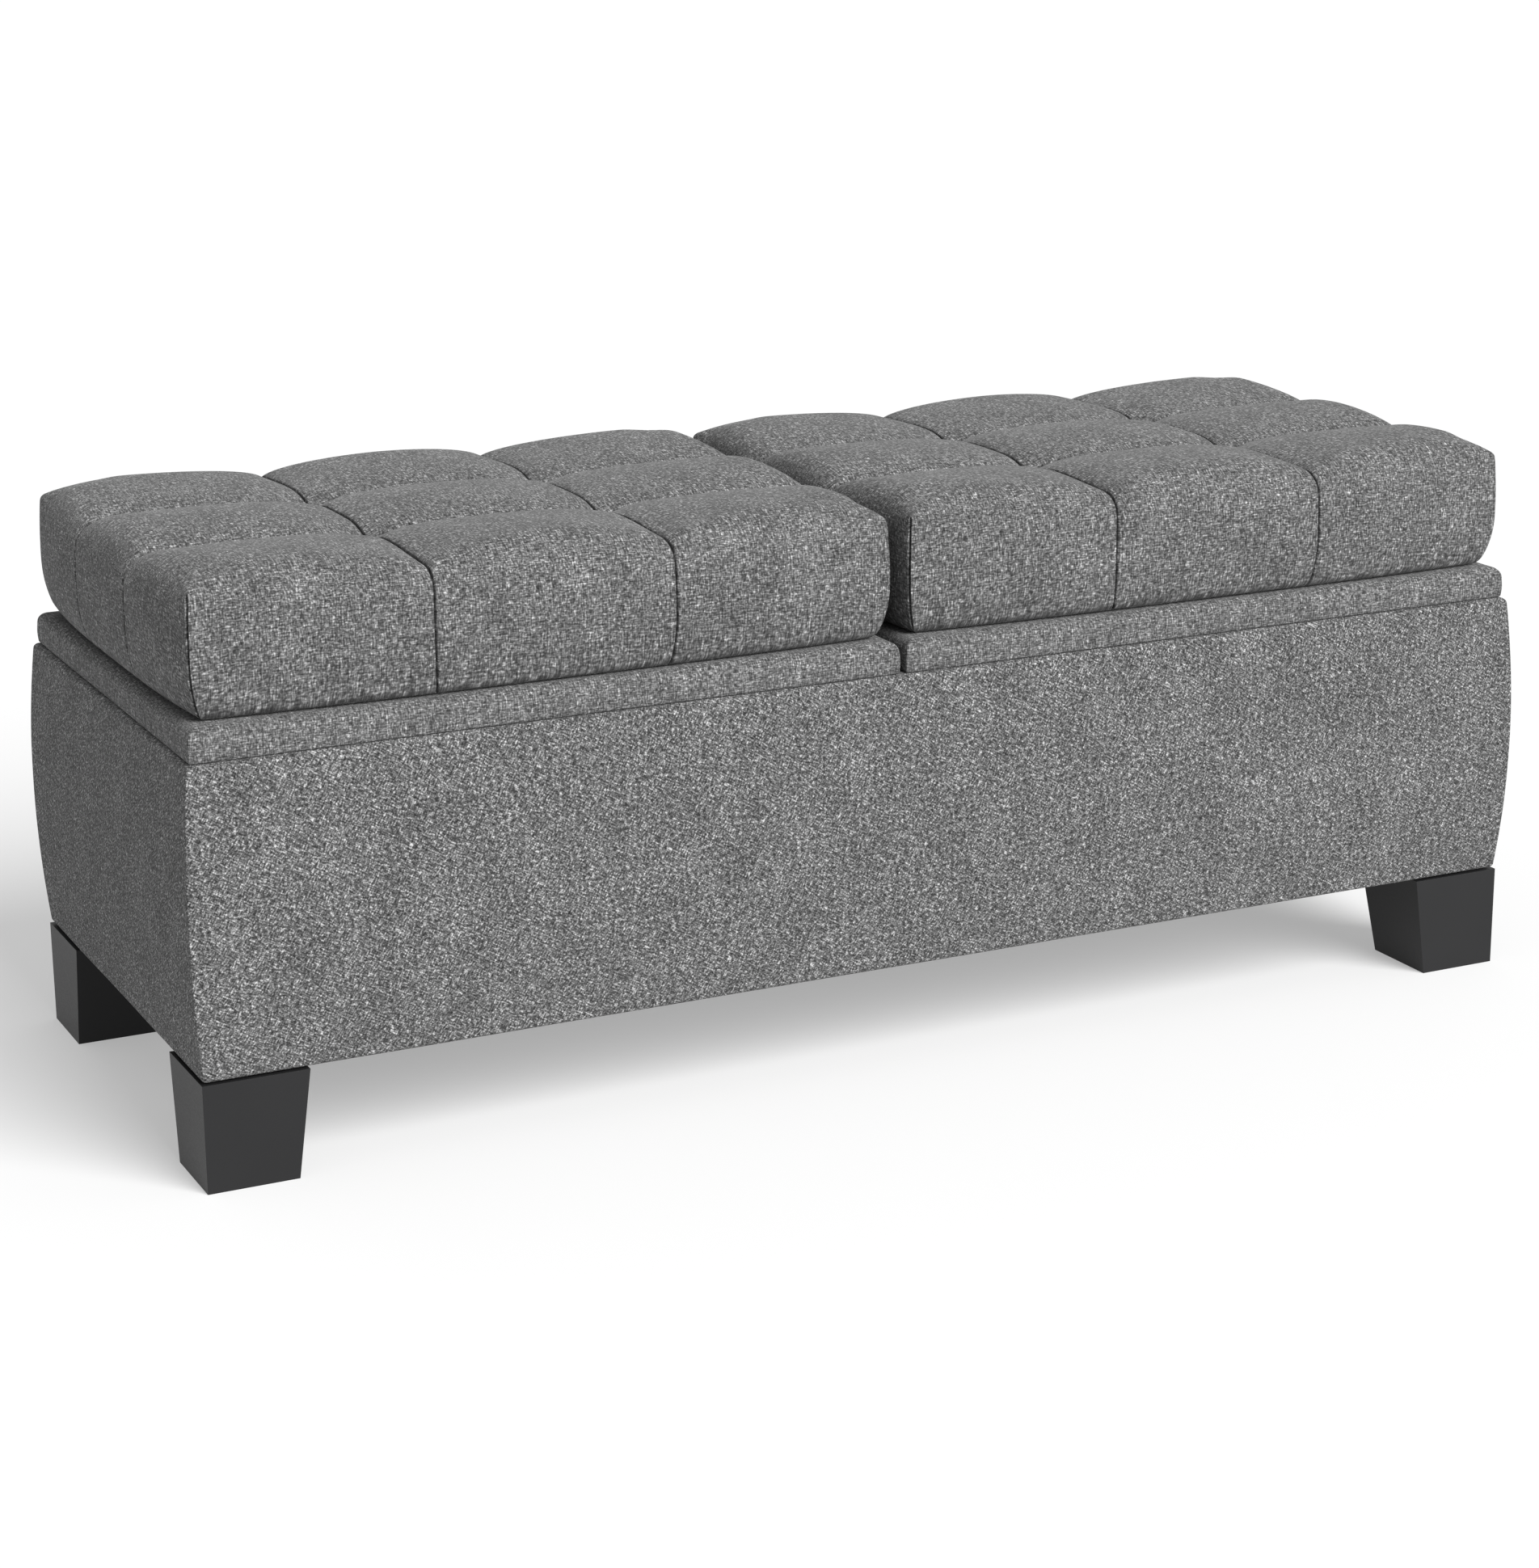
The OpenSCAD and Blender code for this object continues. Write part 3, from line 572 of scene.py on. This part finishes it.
def group_points(obj, name, mask):
    """A vertex group of the points that the mask picks out."""
    group = obj.vertex_groups.new(name=name)
    group.add([int(v) for v in np.flatnonzero(mask)], 1.0, "REPLACE")


def puff(obj, pinned):
    """Blows the tight cover up a little between its pinned seams, as cloth under pressure."""
    group_points(obj, "pinned", pinned)
    cloth = obj.modifiers.new("cloth", "CLOTH")
    s = cloth.settings
    s.quality = 6
    s.mass = 0.25
    s.tension_stiffness = s.compression_stiffness = 25
    s.shear_stiffness = 15
    s.bending_stiffness = 4.0
    s.use_pressure = True
    s.uniform_pressure_force = 4.0
    s.vertex_group_mass = "pinned"
    s.pin_stiffness = 1.0
    s.effector_weights.gravity = 0.0
    cloth.collision_settings.use_collision = False
    cloth.point_cache.frame_start = 1
    cloth.point_cache.frame_end = CLOTH_FRAMES
    scene = bpy.context.scene
    for f in range(1, CLOTH_FRAMES + 1):
        scene.frame_set(f)
    apply_modifiers(obj)
    obj.vertex_groups.clear()
    scene.frame_set(1)


def blow_up(obj, pinned, crest):
    """Puffs the cover, keeps the movement small, and brings the cells' tops back to the crest."""
    start = points_of(obj)
    puff(obj, pinned)
    moved = points_of(obj) - start
    size = np.linalg.norm(moved, axis=1)
    moved *= (CLOTH_CAP * np.tanh(size / CLOTH_CAP) / np.maximum(size, 1e-9))[:, None]
    blown = start + moved
    valley = crest - VALLEY
    over = blown[:, 2] > valley
    blown[over, 2] = valley + (blown[over, 2] - valley) * (VALLEY / (blown[:, 2].max() - valley))
    set_points(obj, blown)


def cushion_form():
    """One cushion about the middle of its lid, with its seams sunk after it is blown up."""
    lo, hi, _ = size_of("right_cushion_cover")
    hx = (BAND_HI[0] - BAND_LO[0]) / 2 - CORNER_IN[0]
    crest = hi[2] - CREST_DOWN
    grid = CushionGrid(hx, BAND_HI[1] - CORNER_IN[1], lo[2], crest)
    obj = make_mesh("cushion_form", grid.points, grid.faces, grid.uvs)
    seam, corner, low = (grid.chosen(what) for what in ("seam", "corner", "low"))
    blow_up(obj, seam | corner | low, crest)
    group_points(obj, "seam", seam)
    group_points(obj, "corner", corner)
    subdivide(obj)
    sink_seams(obj)
    return obj


def sink_seams(obj):
    """Draws the cloth in along the sewn lines, as a narrow groove, and keeps how deep in a seam or
    upright corner each point is, for the painted seam shade.
    """
    count = len(obj.data.vertices)
    weight = np.zeros((2, count))
    for v in obj.data.vertices:
        for g in v.groups:
            weight[g.group, v.index] = g.weight
    normals = np.zeros(count * 3)
    obj.data.vertices.foreach_get("normal", normals)
    p = points_of(obj)
    normals = normals.reshape(-1, 3)
    depth = SEAM_DEPTH * (1 - END_SEAM_LESS * np.abs(normals[:, 0]))
    p -= normals * (weight[0] ** SEAM_SHARP * depth)[:, None]
    inward = -np.sign(p) * (1, 1, 0)
    p += inward * (weight[1] * CORNER_DEPTH)[:, None]
    obj.vertex_groups.clear()
    set_points(obj, p)
    # painted shade: the seam and corner weights darken the cloth's colour in its material
    shade = obj.data.attributes.new(SEAM_SHADE, "FLOAT", "POINT")
    shade.data.foreach_set("value", weight.max(axis=0))


def make_cushions():
    """The same form on both lids, turned by half a turn on the right one."""
    form = cushion_form()
    for side in SIDES:
        name = SIDE_NAME[side]
        _, _, mid = size_of(f"{name}_cushion_cover")
        obj = bpy.data.objects.new(f"{name}_tufted_cushion", form.data.copy())
        bpy.context.scene.collection.objects.link(obj)
        turn = Matrix.Rotation(math.pi if side > 0 else 0.0, 4, "Z")
        obj.data.transform(Matrix.Translation((mid[0], mid[1], 0)) @ turn)
        obj.data.materials.append(LID_CLOTH)
        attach(obj, f"{name}_lid")
        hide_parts(f"{name}_cushion_cover", f"{name}_cushion_foam", f"{name}_tuft_ties")
    bpy.data.objects.remove(form)


# ---------------------------------------------------------------- padded sides and bands

PAD_RADIUS = 1.16  # bulging faces of the box
PAD_TOP_ROLL = 0.005
PAD_LOW_ROLL = 0.004
PAD_WRAP = 0.0146  # the cloth is carried this far over the top of the board
PAD_STEP = 0.008  # widest step along a padded strip
SEAM_ROLL = 0.0011  # the cloth rolls into a sewn corner by this much
SEAM_LINES = (0.0, 0.0003, 0.0007, SEAM_ROLL, 0.0025)  # grid lines beside a sewn corner
BAND_ROLL = 0.009  # top edge of the lid band
BAND_LIP = 0.002  # its bottom edge
BAND_IN = 0.035  # its top runs in under the cushion
BAND_WRAP = 0.0046  # and its cloth in under the lid board
BAND_DOWN = 0.0106  # the band's top stands this far above the lid board
KNUCKLE_ROOM = 0.0046  # free round the hinge line
LEAF_HALF = 0.0304  # half length of a hinge leaf, with room beside it
LEAF_ROOM = 0.0017  # thickness of a hinge leaf, with room beside it


def arc(cx, cz, radius, a0, a1, n):
    """Points of an arc, with angles in degrees."""
    return [(cx + radius * math.cos(math.radians(a0 + (a1 - a0) * i / n)),
             cz + radius * math.sin(math.radians(a0 + (a1 - a0) * i / n))) for i in range(n + 1)]


def pad_profile(wraps):
    """Section of a padded side: outward from the board, and up. It starts on the board's foot.

    wraps is True where the cloth is carried over the top of the board.
    """
    low, high = PAD_LO[2], PAD_HI[2]
    mid, half = (low + high) / 2, (high - low) / 2
    cu = EDGE_PAD + BULGE - PAD_RADIUS

    def roll(radius, sign):
        """Centre of the edge roll at the foot (-1) or at the head (1)."""
        reach = math.sqrt((PAD_RADIUS - radius) ** 2 - (half - radius) ** 2)
        return cu + reach, mid + sign * (half - radius)

    def lean(radius):
        """Angle at which the bulge meets an edge roll, in degrees."""
        return math.degrees(math.asin((half - radius) / (PAD_RADIUS - radius)))

    lean_low, lean_top = lean(PAD_LOW_ROLL), lean(PAD_TOP_ROLL)
    cloth = 0.0002
    foot = [(0.0, low), (0.004, low)]
    head = [(0.004, high), (0.0, high)]
    if wraps:
        over = high + cloth
        head = [(0.004, over), (-PAD_WRAP, over), (-PAD_WRAP, high), (0.0, high)]
    return (foot + arc(*roll(PAD_LOW_ROLL, -1), PAD_LOW_ROLL, -90, -lean_low, 5)
            + arc(cu, mid, PAD_RADIUS, -lean_low, lean_top, 40)[1:-1]
            + arc(*roll(PAD_TOP_ROLL, 1), PAD_TOP_ROLL, lean_top, 90, 6) + head)


def sweep(name, profile, half, to_place, crease, material, wave):
    """A padded strip with mitred ends, closed at its back and ends.

    profile is (outward, up) points; to_place turns (along, outward, up) into a place. crease
    holds places that get a grid line of their own. wave is the height of the slow unevenness.
    """
    marks = sorted({-half, half} | {c for c in crease if abs(c) < half})
    alongs = fill_steps(marks, PAD_STEP)
    n = len(profile)
    lengths = [0.0]
    for (u0, z0), (u1, z1) in zip(profile, profile[1:]):
        lengths.append(lengths[-1] + math.hypot(u1 - u0, z1 - z0))
    rows = [(-1, e) for e in SEAM_LINES]
    rows += [(0, a) for a in alongs[1:-1]]
    rows += [(1, e) for e in reversed(SEAM_LINES)]
    points, uv = [], []
    for kind, value in rows:
        for (u, z), v in zip(profile, lengths):
            if kind:
                along = kind * (half + u - value)
                left = SEAM_ROLL - min(value, SEAM_ROLL)
                sink = SEAM_ROLL - math.sqrt(max(0, SEAM_ROLL**2 - left**2))
            else:
                along, sink = value * (half + u) / half, 0.0
            soft = 0.0
            if u > 0.002:
                soft = wave * noise.noise(Vector((along * 9, z * 14, half * 7)))
            points.append(to_place(along, max(u - sink, 0.0) + soft if u > 0 else u, z))
            uv.append((along, v))
    faces, uvs = [], []
    for r in range(len(rows) - 1):
        for c in range(n):
            d = (c + 1) % n
            quad = [r * n + c, (r + 1) * n + c, (r + 1) * n + d, r * n + d]
            faces.append(quad)
            uvs.append([uv[q] for q in quad])
    last = (len(rows) - 1) * n
    for cap in (list(range(n)), [last + c for c in reversed(range(n))]):
        faces.append(cap)
        uvs.append([uv[q] for q in cap])
    obj = make_mesh(name, points, faces, uvs)
    obj.data.materials.append(material)
    return obj


def face_out(obj):
    """Turns the faces of a closed mesh outward."""
    mesh = obj.data
    mesh.calc_loop_triangles()
    p = points_of(obj)
    tri = np.array([t.vertices[:] for t in mesh.loop_triangles])
    a, b, c = p[tri[:, 0]], p[tri[:, 1]], p[tri[:, 2]]
    if np.einsum("ij,ij->i", a, np.cross(b, c)).sum() < 0:
        mesh.flip_normals()


def clear_hinges(obj, above):
    """Presses the cloth back from the hinge knuckles and leaves. above is True on the lid."""
    p = points_of(obj)
    for name in SIDE_NAME.values():
        for end in HINGE_ENDS:
            _, _, mid = size_of(f"{name}_{end}_hinge_lid_leaf")
            near = np.abs(p[:, 0] - mid[0]) < LEAF_HALF
            dy, dz = p[:, 1] - HINGE_Y, p[:, 2] - HINGE_Z
            r = np.hypot(dy, dz)
            push = near & (r < KNUCKLE_ROOM)
            scale = KNUCKLE_ROOM / np.maximum(r, 1e-6)
            p[push, 1] = HINGE_Y + (dy * scale)[push]
            p[push, 2] = HINGE_Z + (dz * scale)[push]
            under = near & (p[:, 1] < HINGE_Y) & (p[:, 1] > BOARD_Y - 0.001)
            if above:
                flat = under & (p[:, 2] < HINGE_Z + LEAF_ROOM)
                p[flat, 2] = HINGE_Z + LEAF_ROOM
            else:
                flat = under & (p[:, 2] > HINGE_Z - LEAF_ROOM)
                p[flat, 2] = HINGE_Z - LEAF_ROOM
    set_points(obj, p)


def hinge_marks(side_names):
    """Places along the bench where the cloth needs grid lines beside a hinge leaf."""
    marks = []
    for name in side_names:
        for end in HINGE_ENDS:
            lo, hi, _ = size_of(f"{name}_{end}_hinge_lid_leaf")
            marks += [lo[0] - 0.0018, lo[0] - 0.0003, hi[0] + 0.0003, hi[0] + 0.0018]
    return marks


def make_box_upholstery():
    """The four padded sides of the box."""
    plans = {
        "front": (BOARD_X, lambda a, u, z: (a, -BOARD_Y - u, z)),
        "rear": (BOARD_X, lambda a, u, z: (a, BOARD_Y + u, z)),
        "left_end": (BOARD_Y, lambda a, u, z: (-BOARD_X - u, a, z)),
        "right_end": (BOARD_Y, lambda a, u, z: (BOARD_X + u, a, z)),
    }
    for name, (half, to_place) in plans.items():
        crease = hinge_marks(SIDE_NAME.values()) if name == "rear" else ()
        profile = pad_profile(name != "rear")
        obj = sweep(f"{name}_padding", profile, half, to_place, crease, BOX_CLOTH, wave=0.0005)
        if name == "rear":
            clear_hinges(obj, above=False)
        face_out(obj)
        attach(obj, "box")
        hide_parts(f"{name}_upholstery")


def band_profile(low, high, side, wraps):
    """Section of the lid band: outward from the lid board, and up.

    wraps is True where the cloth is carried in under the lid board.
    """
    board = low + 0.0008
    bottom = [(0.0, high - BAND_DOWN), (0.0, board), (0.0, low), (0.004, low)]
    if wraps:
        bottom[2:3] = [(-BAND_WRAP, board), (-BAND_WRAP, low + 0.0002), (0.0, low)]
    lip = arc(side - BAND_LIP, low + BAND_LIP, BAND_LIP, -90, 0, 4)
    belly = ((0.0004, 0.006), (0.0005, 0.010), (0.0003, 0.014))
    face = [(side + out, low + up) for out, up in belly]
    top = arc(side - BAND_ROLL, high - BAND_ROLL, BAND_ROLL, 5, 90, 9)
    back = [(-BAND_IN * 0.5, high), (-BAND_IN, high), (-BAND_IN, high - BAND_DOWN)]
    return bottom + lip + face + top + back


def make_bands():
    """Four padded strips round each lid."""
    board_lo, board_hi, _ = size_of("right_lid_board")
    side = BAND_HI[0] - board_hi[0]
    hx, hy = (board_hi[0] - board_lo[0]) / 2, board_hi[1]
    for s in SIDES:
        name = SIDE_NAME[s]
        cx = s * BAND_MID[0]
        plans = {
            "front": (hx, lambda a, u, z: (cx + a, -hy - u, z)),
            "rear": (hx, lambda a, u, z: (cx + a, hy + u, z)),
            "left": (hy, lambda a, u, z: (cx - hx - u, a, z)),
            "right": (hy, lambda a, u, z: (cx + hx + u, a, z)),
        }
        for where, (half, to_place) in plans.items():
            crease = [m - cx for m in hinge_marks((name,))] if where == "rear" else ()
            profile = band_profile(BAND_LO[2], BAND_HI[2], side, where != "rear")
            obj = sweep(f"{name}_lid_band_{where}", profile, half, to_place, crease, BAND_CLOTH,
                        wave=0.0003)
            if where == "rear":
                clear_hinges(obj, above=True)
            face_out(obj)
            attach(obj, f"{name}_lid")
            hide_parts(f"{name}_lid_band")


# ---------------------------------------------------------------- linings and dust cover

SHEET_STEP = 0.012  # widest step of a thin cloth's grid
CORNER_CUT = 0.0122  # the lining crosses the glue blocks in the corners of a compartment
FLOOR_FOLD = 0.006  # and rounds off at the floor
FOLD_LINES = ((0.003, 30), (0.008, 60))  # way in, and angle, of the grid lines in the fold
FLOOR_LINES = (0.98, 0.93, 0.85, 0.72, 0.58, 0.44, 0.3, 0.16, 0.06)
HEM = 0.012  # depth of the lining's turned hem
HEM_THICK = 0.0011
LINING_THICK = 0.0004
LINING_STANDS = 0.0005  # the lining stands this far off the boards, and its ripples further
LINING_WAVE = 0.0012  # height of its slow ripples


def ripple(x, y, z, scale):
    """A slow wave of the cloth, from 0 to 1."""
    return min(1.0, max(0.0, 0.5 + 0.8 * noise.noise(Vector((x, y, z)) * scale)))


def stapled_sheet(name, node, thickness, wave, clear):
    """A flat cloth stapled along its edges that hangs a little between them.

    It reaches its full depth at the distance clear from the edges.
    """
    lo, hi, _ = size_of(node)
    xs = fill_steps([lo[0], hi[0]], SHEET_STEP)
    ys = fill_steps([lo[1], hi[1]], SHEET_STEP)
    upper, lower = [], []
    for y in ys:
        for x in xs:
            inside = (smooth_step(0, clear, min(x - lo[0], hi[0] - x))
                      * smooth_step(0, clear, min(y - lo[1], hi[1] - y)))
            drop = wave * float(inside) * ripple(x, y, lo[2], 11)
            upper.append((x, y, hi[2] - drop))
            lower.append((x, y, hi[2] - thickness - drop))
    nx, ny, n = len(xs), len(ys), len(upper)
    faces = []
    for j in range(ny - 1):
        for i in range(nx - 1):
            a = j * nx + i
            faces.append([a, a + 1, a + nx + 1, a + nx])
            faces.append([n + a, n + a + nx, n + a + nx + 1, n + a + 1])
    rim = list(range(nx))
    rim += [j * nx + nx - 1 for j in range(1, ny)]
    rim += [(ny - 1) * nx + i for i in reversed(range(nx - 1))]
    rim += [j * nx for j in reversed(range(1, ny - 1))]
    for a, b in zip(rim, rim[1:] + rim[:1]):
        faces.append([a, n + a, n + b, b])
    obj = make_mesh(name, upper + lower, faces)
    face_out(obj)
    return obj, (hi[0] - lo[0], hi[1] - lo[1])


def cut_ring(hx, hy):
    """Places round a rectangle with cut corners, with the way out at each."""
    slant = 0.3  # how far the way out at a cut corner turns towards the cut
    ring = []
    for sx, sy in ((1, 1), (-1, 1), (-1, -1), (1, -1)):
        on_side = (sx * hx, sy * (hy - CORNER_CUT), sx, slant * sy)
        on_end = (sx * (hx - CORNER_CUT), sy * hy, slant * sx, sy)
        ring += [on_side, on_end] if sx * sy > 0 else [on_end, on_side]
    out = []
    for (x0, y0, u0, v0), (x1, y1, u1, v1) in zip(ring, ring[1:] + ring[:1]):
        n = max(2, round(math.hypot(x1 - x0, y1 - y0) / SHEET_STEP))
        for i in range(n):
            t = i / n
            u, v = u0 + (u1 - u0) * t, v0 + (v1 - v0) * t
            size = math.hypot(u, v)
            out.append((x0 + (x1 - x0) * t, y0 + (y1 - y0) * t, u / size, v / size))
    return out


def compartment_lining(side):
    """An open box of thin cloth, glued to the boards, with slow ripples and a turned hem.

    It also gives its flat size, and the area of the cloth that is left after cutting.
    """
    name = SIDE_NAME[side]
    lo, hi, mid = size_of(f"{name}_compartment_lining")
    hx, hy = (hi[0] - lo[0]) / 2, (hi[1] - lo[1]) / 2
    ring = cut_ring(hx, hy)
    _, _, bracket = size_of(f"{name}_strut_box_bracket")
    rows = [(1.0, z, True) for z in (hi[2], hi[2] - HEM, lo[2] + FLOOR_FOLD)]
    rows += [(1.0 - f, lo[2] + FLOOR_FOLD * (1 - math.sin(math.radians(a))), False)
             for f, a in FOLD_LINES]
    rows += [(f, lo[2], False) for f in FLOOR_LINES]
    outer, inner = [], []
    for f, z, wall in rows:
        for x, y, u, v in ring:
            px, py = mid[0] + x * f, mid[1] + y * f
            cloth = HEM_THICK if z > hi[2] - HEM else LINING_THICK
            near = float(smooth_step(0.02, 0.06, math.dist((px, py, z), tuple(bracket))))
            below = float(smooth_step(0, 0.03, hi[2] - z))
            thick = cloth + LINING_STANDS + LINING_WAVE * near * ripple(px, py, z, 8) * below
            outer.append((px, py, z))
            if wall:
                inner.append((px - u * thick, py - v * thick, z))
            else:
                inner.append((px - u * thick * f * 0.5, py - v * thick * f * 0.5, z + thick))
    n, m, total = len(ring), len(rows), len(outer)
    faces = []
    for r in range(m - 1):
        for c in range(n):
            d = (c + 1) % n
            a = [r * n + c, r * n + d, (r + 1) * n + d, (r + 1) * n + c]
            faces += [a, [total + i for i in reversed(a)]]
    for c in range(n):
        d = (c + 1) % n
        faces.append([c, total + c, total + d, d])
    last = (m - 1) * n
    faces += [[last + c for c in range(n)], [total + last + c for c in reversed(range(n))]]
    obj = make_mesh(f"{name}_compartment_cloth", outer + inner, faces)
    face_out(obj)
    depth = hi[2] - lo[2]
    flat = (2 * (hx + depth), 2 * (hy + depth))
    return obj, flat, 4 * hx * hy + 4 * (hx + hy) * depth


def make_linings():
    """The cloths inside the box, under the lids and under the box."""
    for side in SIDES:
        name = SIDE_NAME[side]
        obj, flat, area = compartment_lining(side)
        obj.data.materials.append(LINING)
        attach(obj, "box")
        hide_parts(f"{name}_compartment_lining")
        obj, flat = stapled_sheet(f"{name}_lid_lining", f"{name}_lid_liner", 0.0005, 0.00045, 0.03)
        obj.data.materials.append(LINING)
        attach(obj, f"{name}_lid")
        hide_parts(f"{name}_lid_liner")
    obj, flat = stapled_sheet("dust_cloth", "dust_cover", 0.0008, 0.0035, 0.10)
    obj.data.materials.append(DUST)
    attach(obj, "box")
    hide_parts("dust_cover")


# ---------------------------------------------------------------- feet


def make_feet():
    """The CAD feet with rounded edges."""
    for end in ("front", "rear"):
        for name in SIDE_NAME.values():
            node = f"{end}_{name}_foot"
            source = frame["nodes"][node]
            obj = bpy.data.objects.new(f"{node}_moulding", source.data.copy())
            bpy.context.scene.collection.objects.link(obj)
            obj.data.transform(source.matrix_world)
            obj.data.materials.clear()
            obj.data.materials.append(FOOT_BLACK)
            weld = obj.modifiers.new("weld", "WELD")
            weld.merge_threshold = 0.00002
            bevel = obj.modifiers.new("edges", "BEVEL")
            bevel.width = 0.0016
            bevel.segments = 4
            bevel.limit_method = "ANGLE"
            bevel.angle_limit = math.radians(40)
            bevel.harden_normals = True
            apply_modifiers(obj)
            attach(obj, "box")
            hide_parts(node)


# ---------------------------------------------------------------- CAD nodes that stay


def node_material(node):
    """The material of a CAD node that is shown as it is."""
    endings = {
        "_liner": LINING, "_lining": LINING, "dust_cover": DUST, "cushion_base": PLY,
        "corner_blocks": TIMBER, "_board": BOARD, "centre_divider": BOARD,
        "strut_tube": BLACK_METAL, "strut_rod": ROD, "_bracket": BLACK_METAL,
        "_leaf": HINGE, "_pins": HINGE,
    }
    for ending, material in endings.items():
        if node.endswith(ending):
            return material
    return ZINC


def finish_nodes():
    """Gives every CAD node its material."""
    for node, obj in frame["nodes"].items():
        for slot in obj.material_slots:
            slot.material = node_material(node)


# ---------------------------------------------------------------- camera, floor and light

CAMERA_PLACE = (-1.2696, -2.5918, 1.0164)
CAMERA_AZIMUTH = -25.817  # degrees, as the elevation and the roll
CAMERA_ELEVATION = 16.016
CAMERA_ROLL = -0.433
CAMERA_LENS = 79.63  # mm, on a 36 mm sensor
FLOOR_HALF = 40.0
FLOOR_TONE = 0.36
FLOOR_GLOW = 0.36
STUDIO_LIGHT = 0.60
KEY_LIGHT = 6.7
KEY_SPREAD = 40
KEY_FROM = (0.30, -0.80, 0.62)


def make_camera():
    """A long lens from the front left, a little above the seat."""
    a, e = math.radians(CAMERA_AZIMUTH), math.radians(CAMERA_ELEVATION)
    back = Vector((math.sin(a) * math.cos(e), -math.cos(a) * math.cos(e), math.sin(e)))
    look = -back
    right = look.cross(Vector((0, 0, 1))).normalized()
    up = right.cross(look)
    c, s = math.cos(math.radians(CAMERA_ROLL)), math.sin(math.radians(CAMERA_ROLL))
    axes = (c * right + s * up, -s * right + c * up, back)
    data = bpy.data.cameras.new("camera")
    data.sensor_width = 36.0
    data.lens = CAMERA_LENS
    camera = bpy.data.objects.new("camera", data)
    bpy.context.scene.collection.objects.link(camera)
    turn = Matrix([[axes[c][r] for c in range(3)] for r in range(3)])
    camera.matrix_world = Matrix.Translation(Vector(CAMERA_PLACE)) @ turn.to_4x4()
    bpy.context.scene.camera = camera


def make_floor():
    """A pale floor that also glows a little, so that the bench's shadow on it stays soft."""
    corners = ((-1, -1), (1, -1), (1, 1), (-1, 1))
    points = [(FLOOR_HALF * x, FLOOR_HALF * y, 0) for x, y in corners]
    floor = make_mesh("floor", points, [[0, 1, 2, 3]])
    n = Nodes("pale_floor", Roughness=0.9)
    n.bsdf.inputs["Specular IOR Level"].default_value = 0.1
    n.bsdf.inputs["Base Color"].default_value = (FLOOR_TONE, FLOOR_TONE, FLOOR_TONE, 1)
    n.bsdf.inputs["Emission Color"].default_value = (1, 1, 1, 1)
    n.bsdf.inputs["Emission Strength"].default_value = FLOOR_GLOW
    floor.data.materials.append(n.mat)


def make_light():
    """An even bright studio with a broad key from the front, above and a little to the right."""
    world = bpy.data.worlds.new("studio")
    world.use_nodes = True
    back = world.node_tree.nodes["Background"]
    back.inputs["Color"].default_value = (1, 1, 1, 1)
    back.inputs["Strength"].default_value = STUDIO_LIGHT
    bpy.context.scene.world = world
    bpy.context.scene.view_settings.view_transform = "Standard"
    data = bpy.data.lights.new("key", "SUN")
    data.energy = KEY_LIGHT
    data.angle = math.radians(KEY_SPREAD)
    key = bpy.data.objects.new("key", data)
    key.rotation_euler = Vector(KEY_FROM).to_track_quat("Z", "Y").to_euler()
    bpy.context.scene.collection.objects.link(key)


make_camera()
make_floor()
make_light()
make_cushions()
make_bands()
make_box_upholstery()
make_linings()
make_feet()
finish_nodes()

bpy.context.view_layer.update()
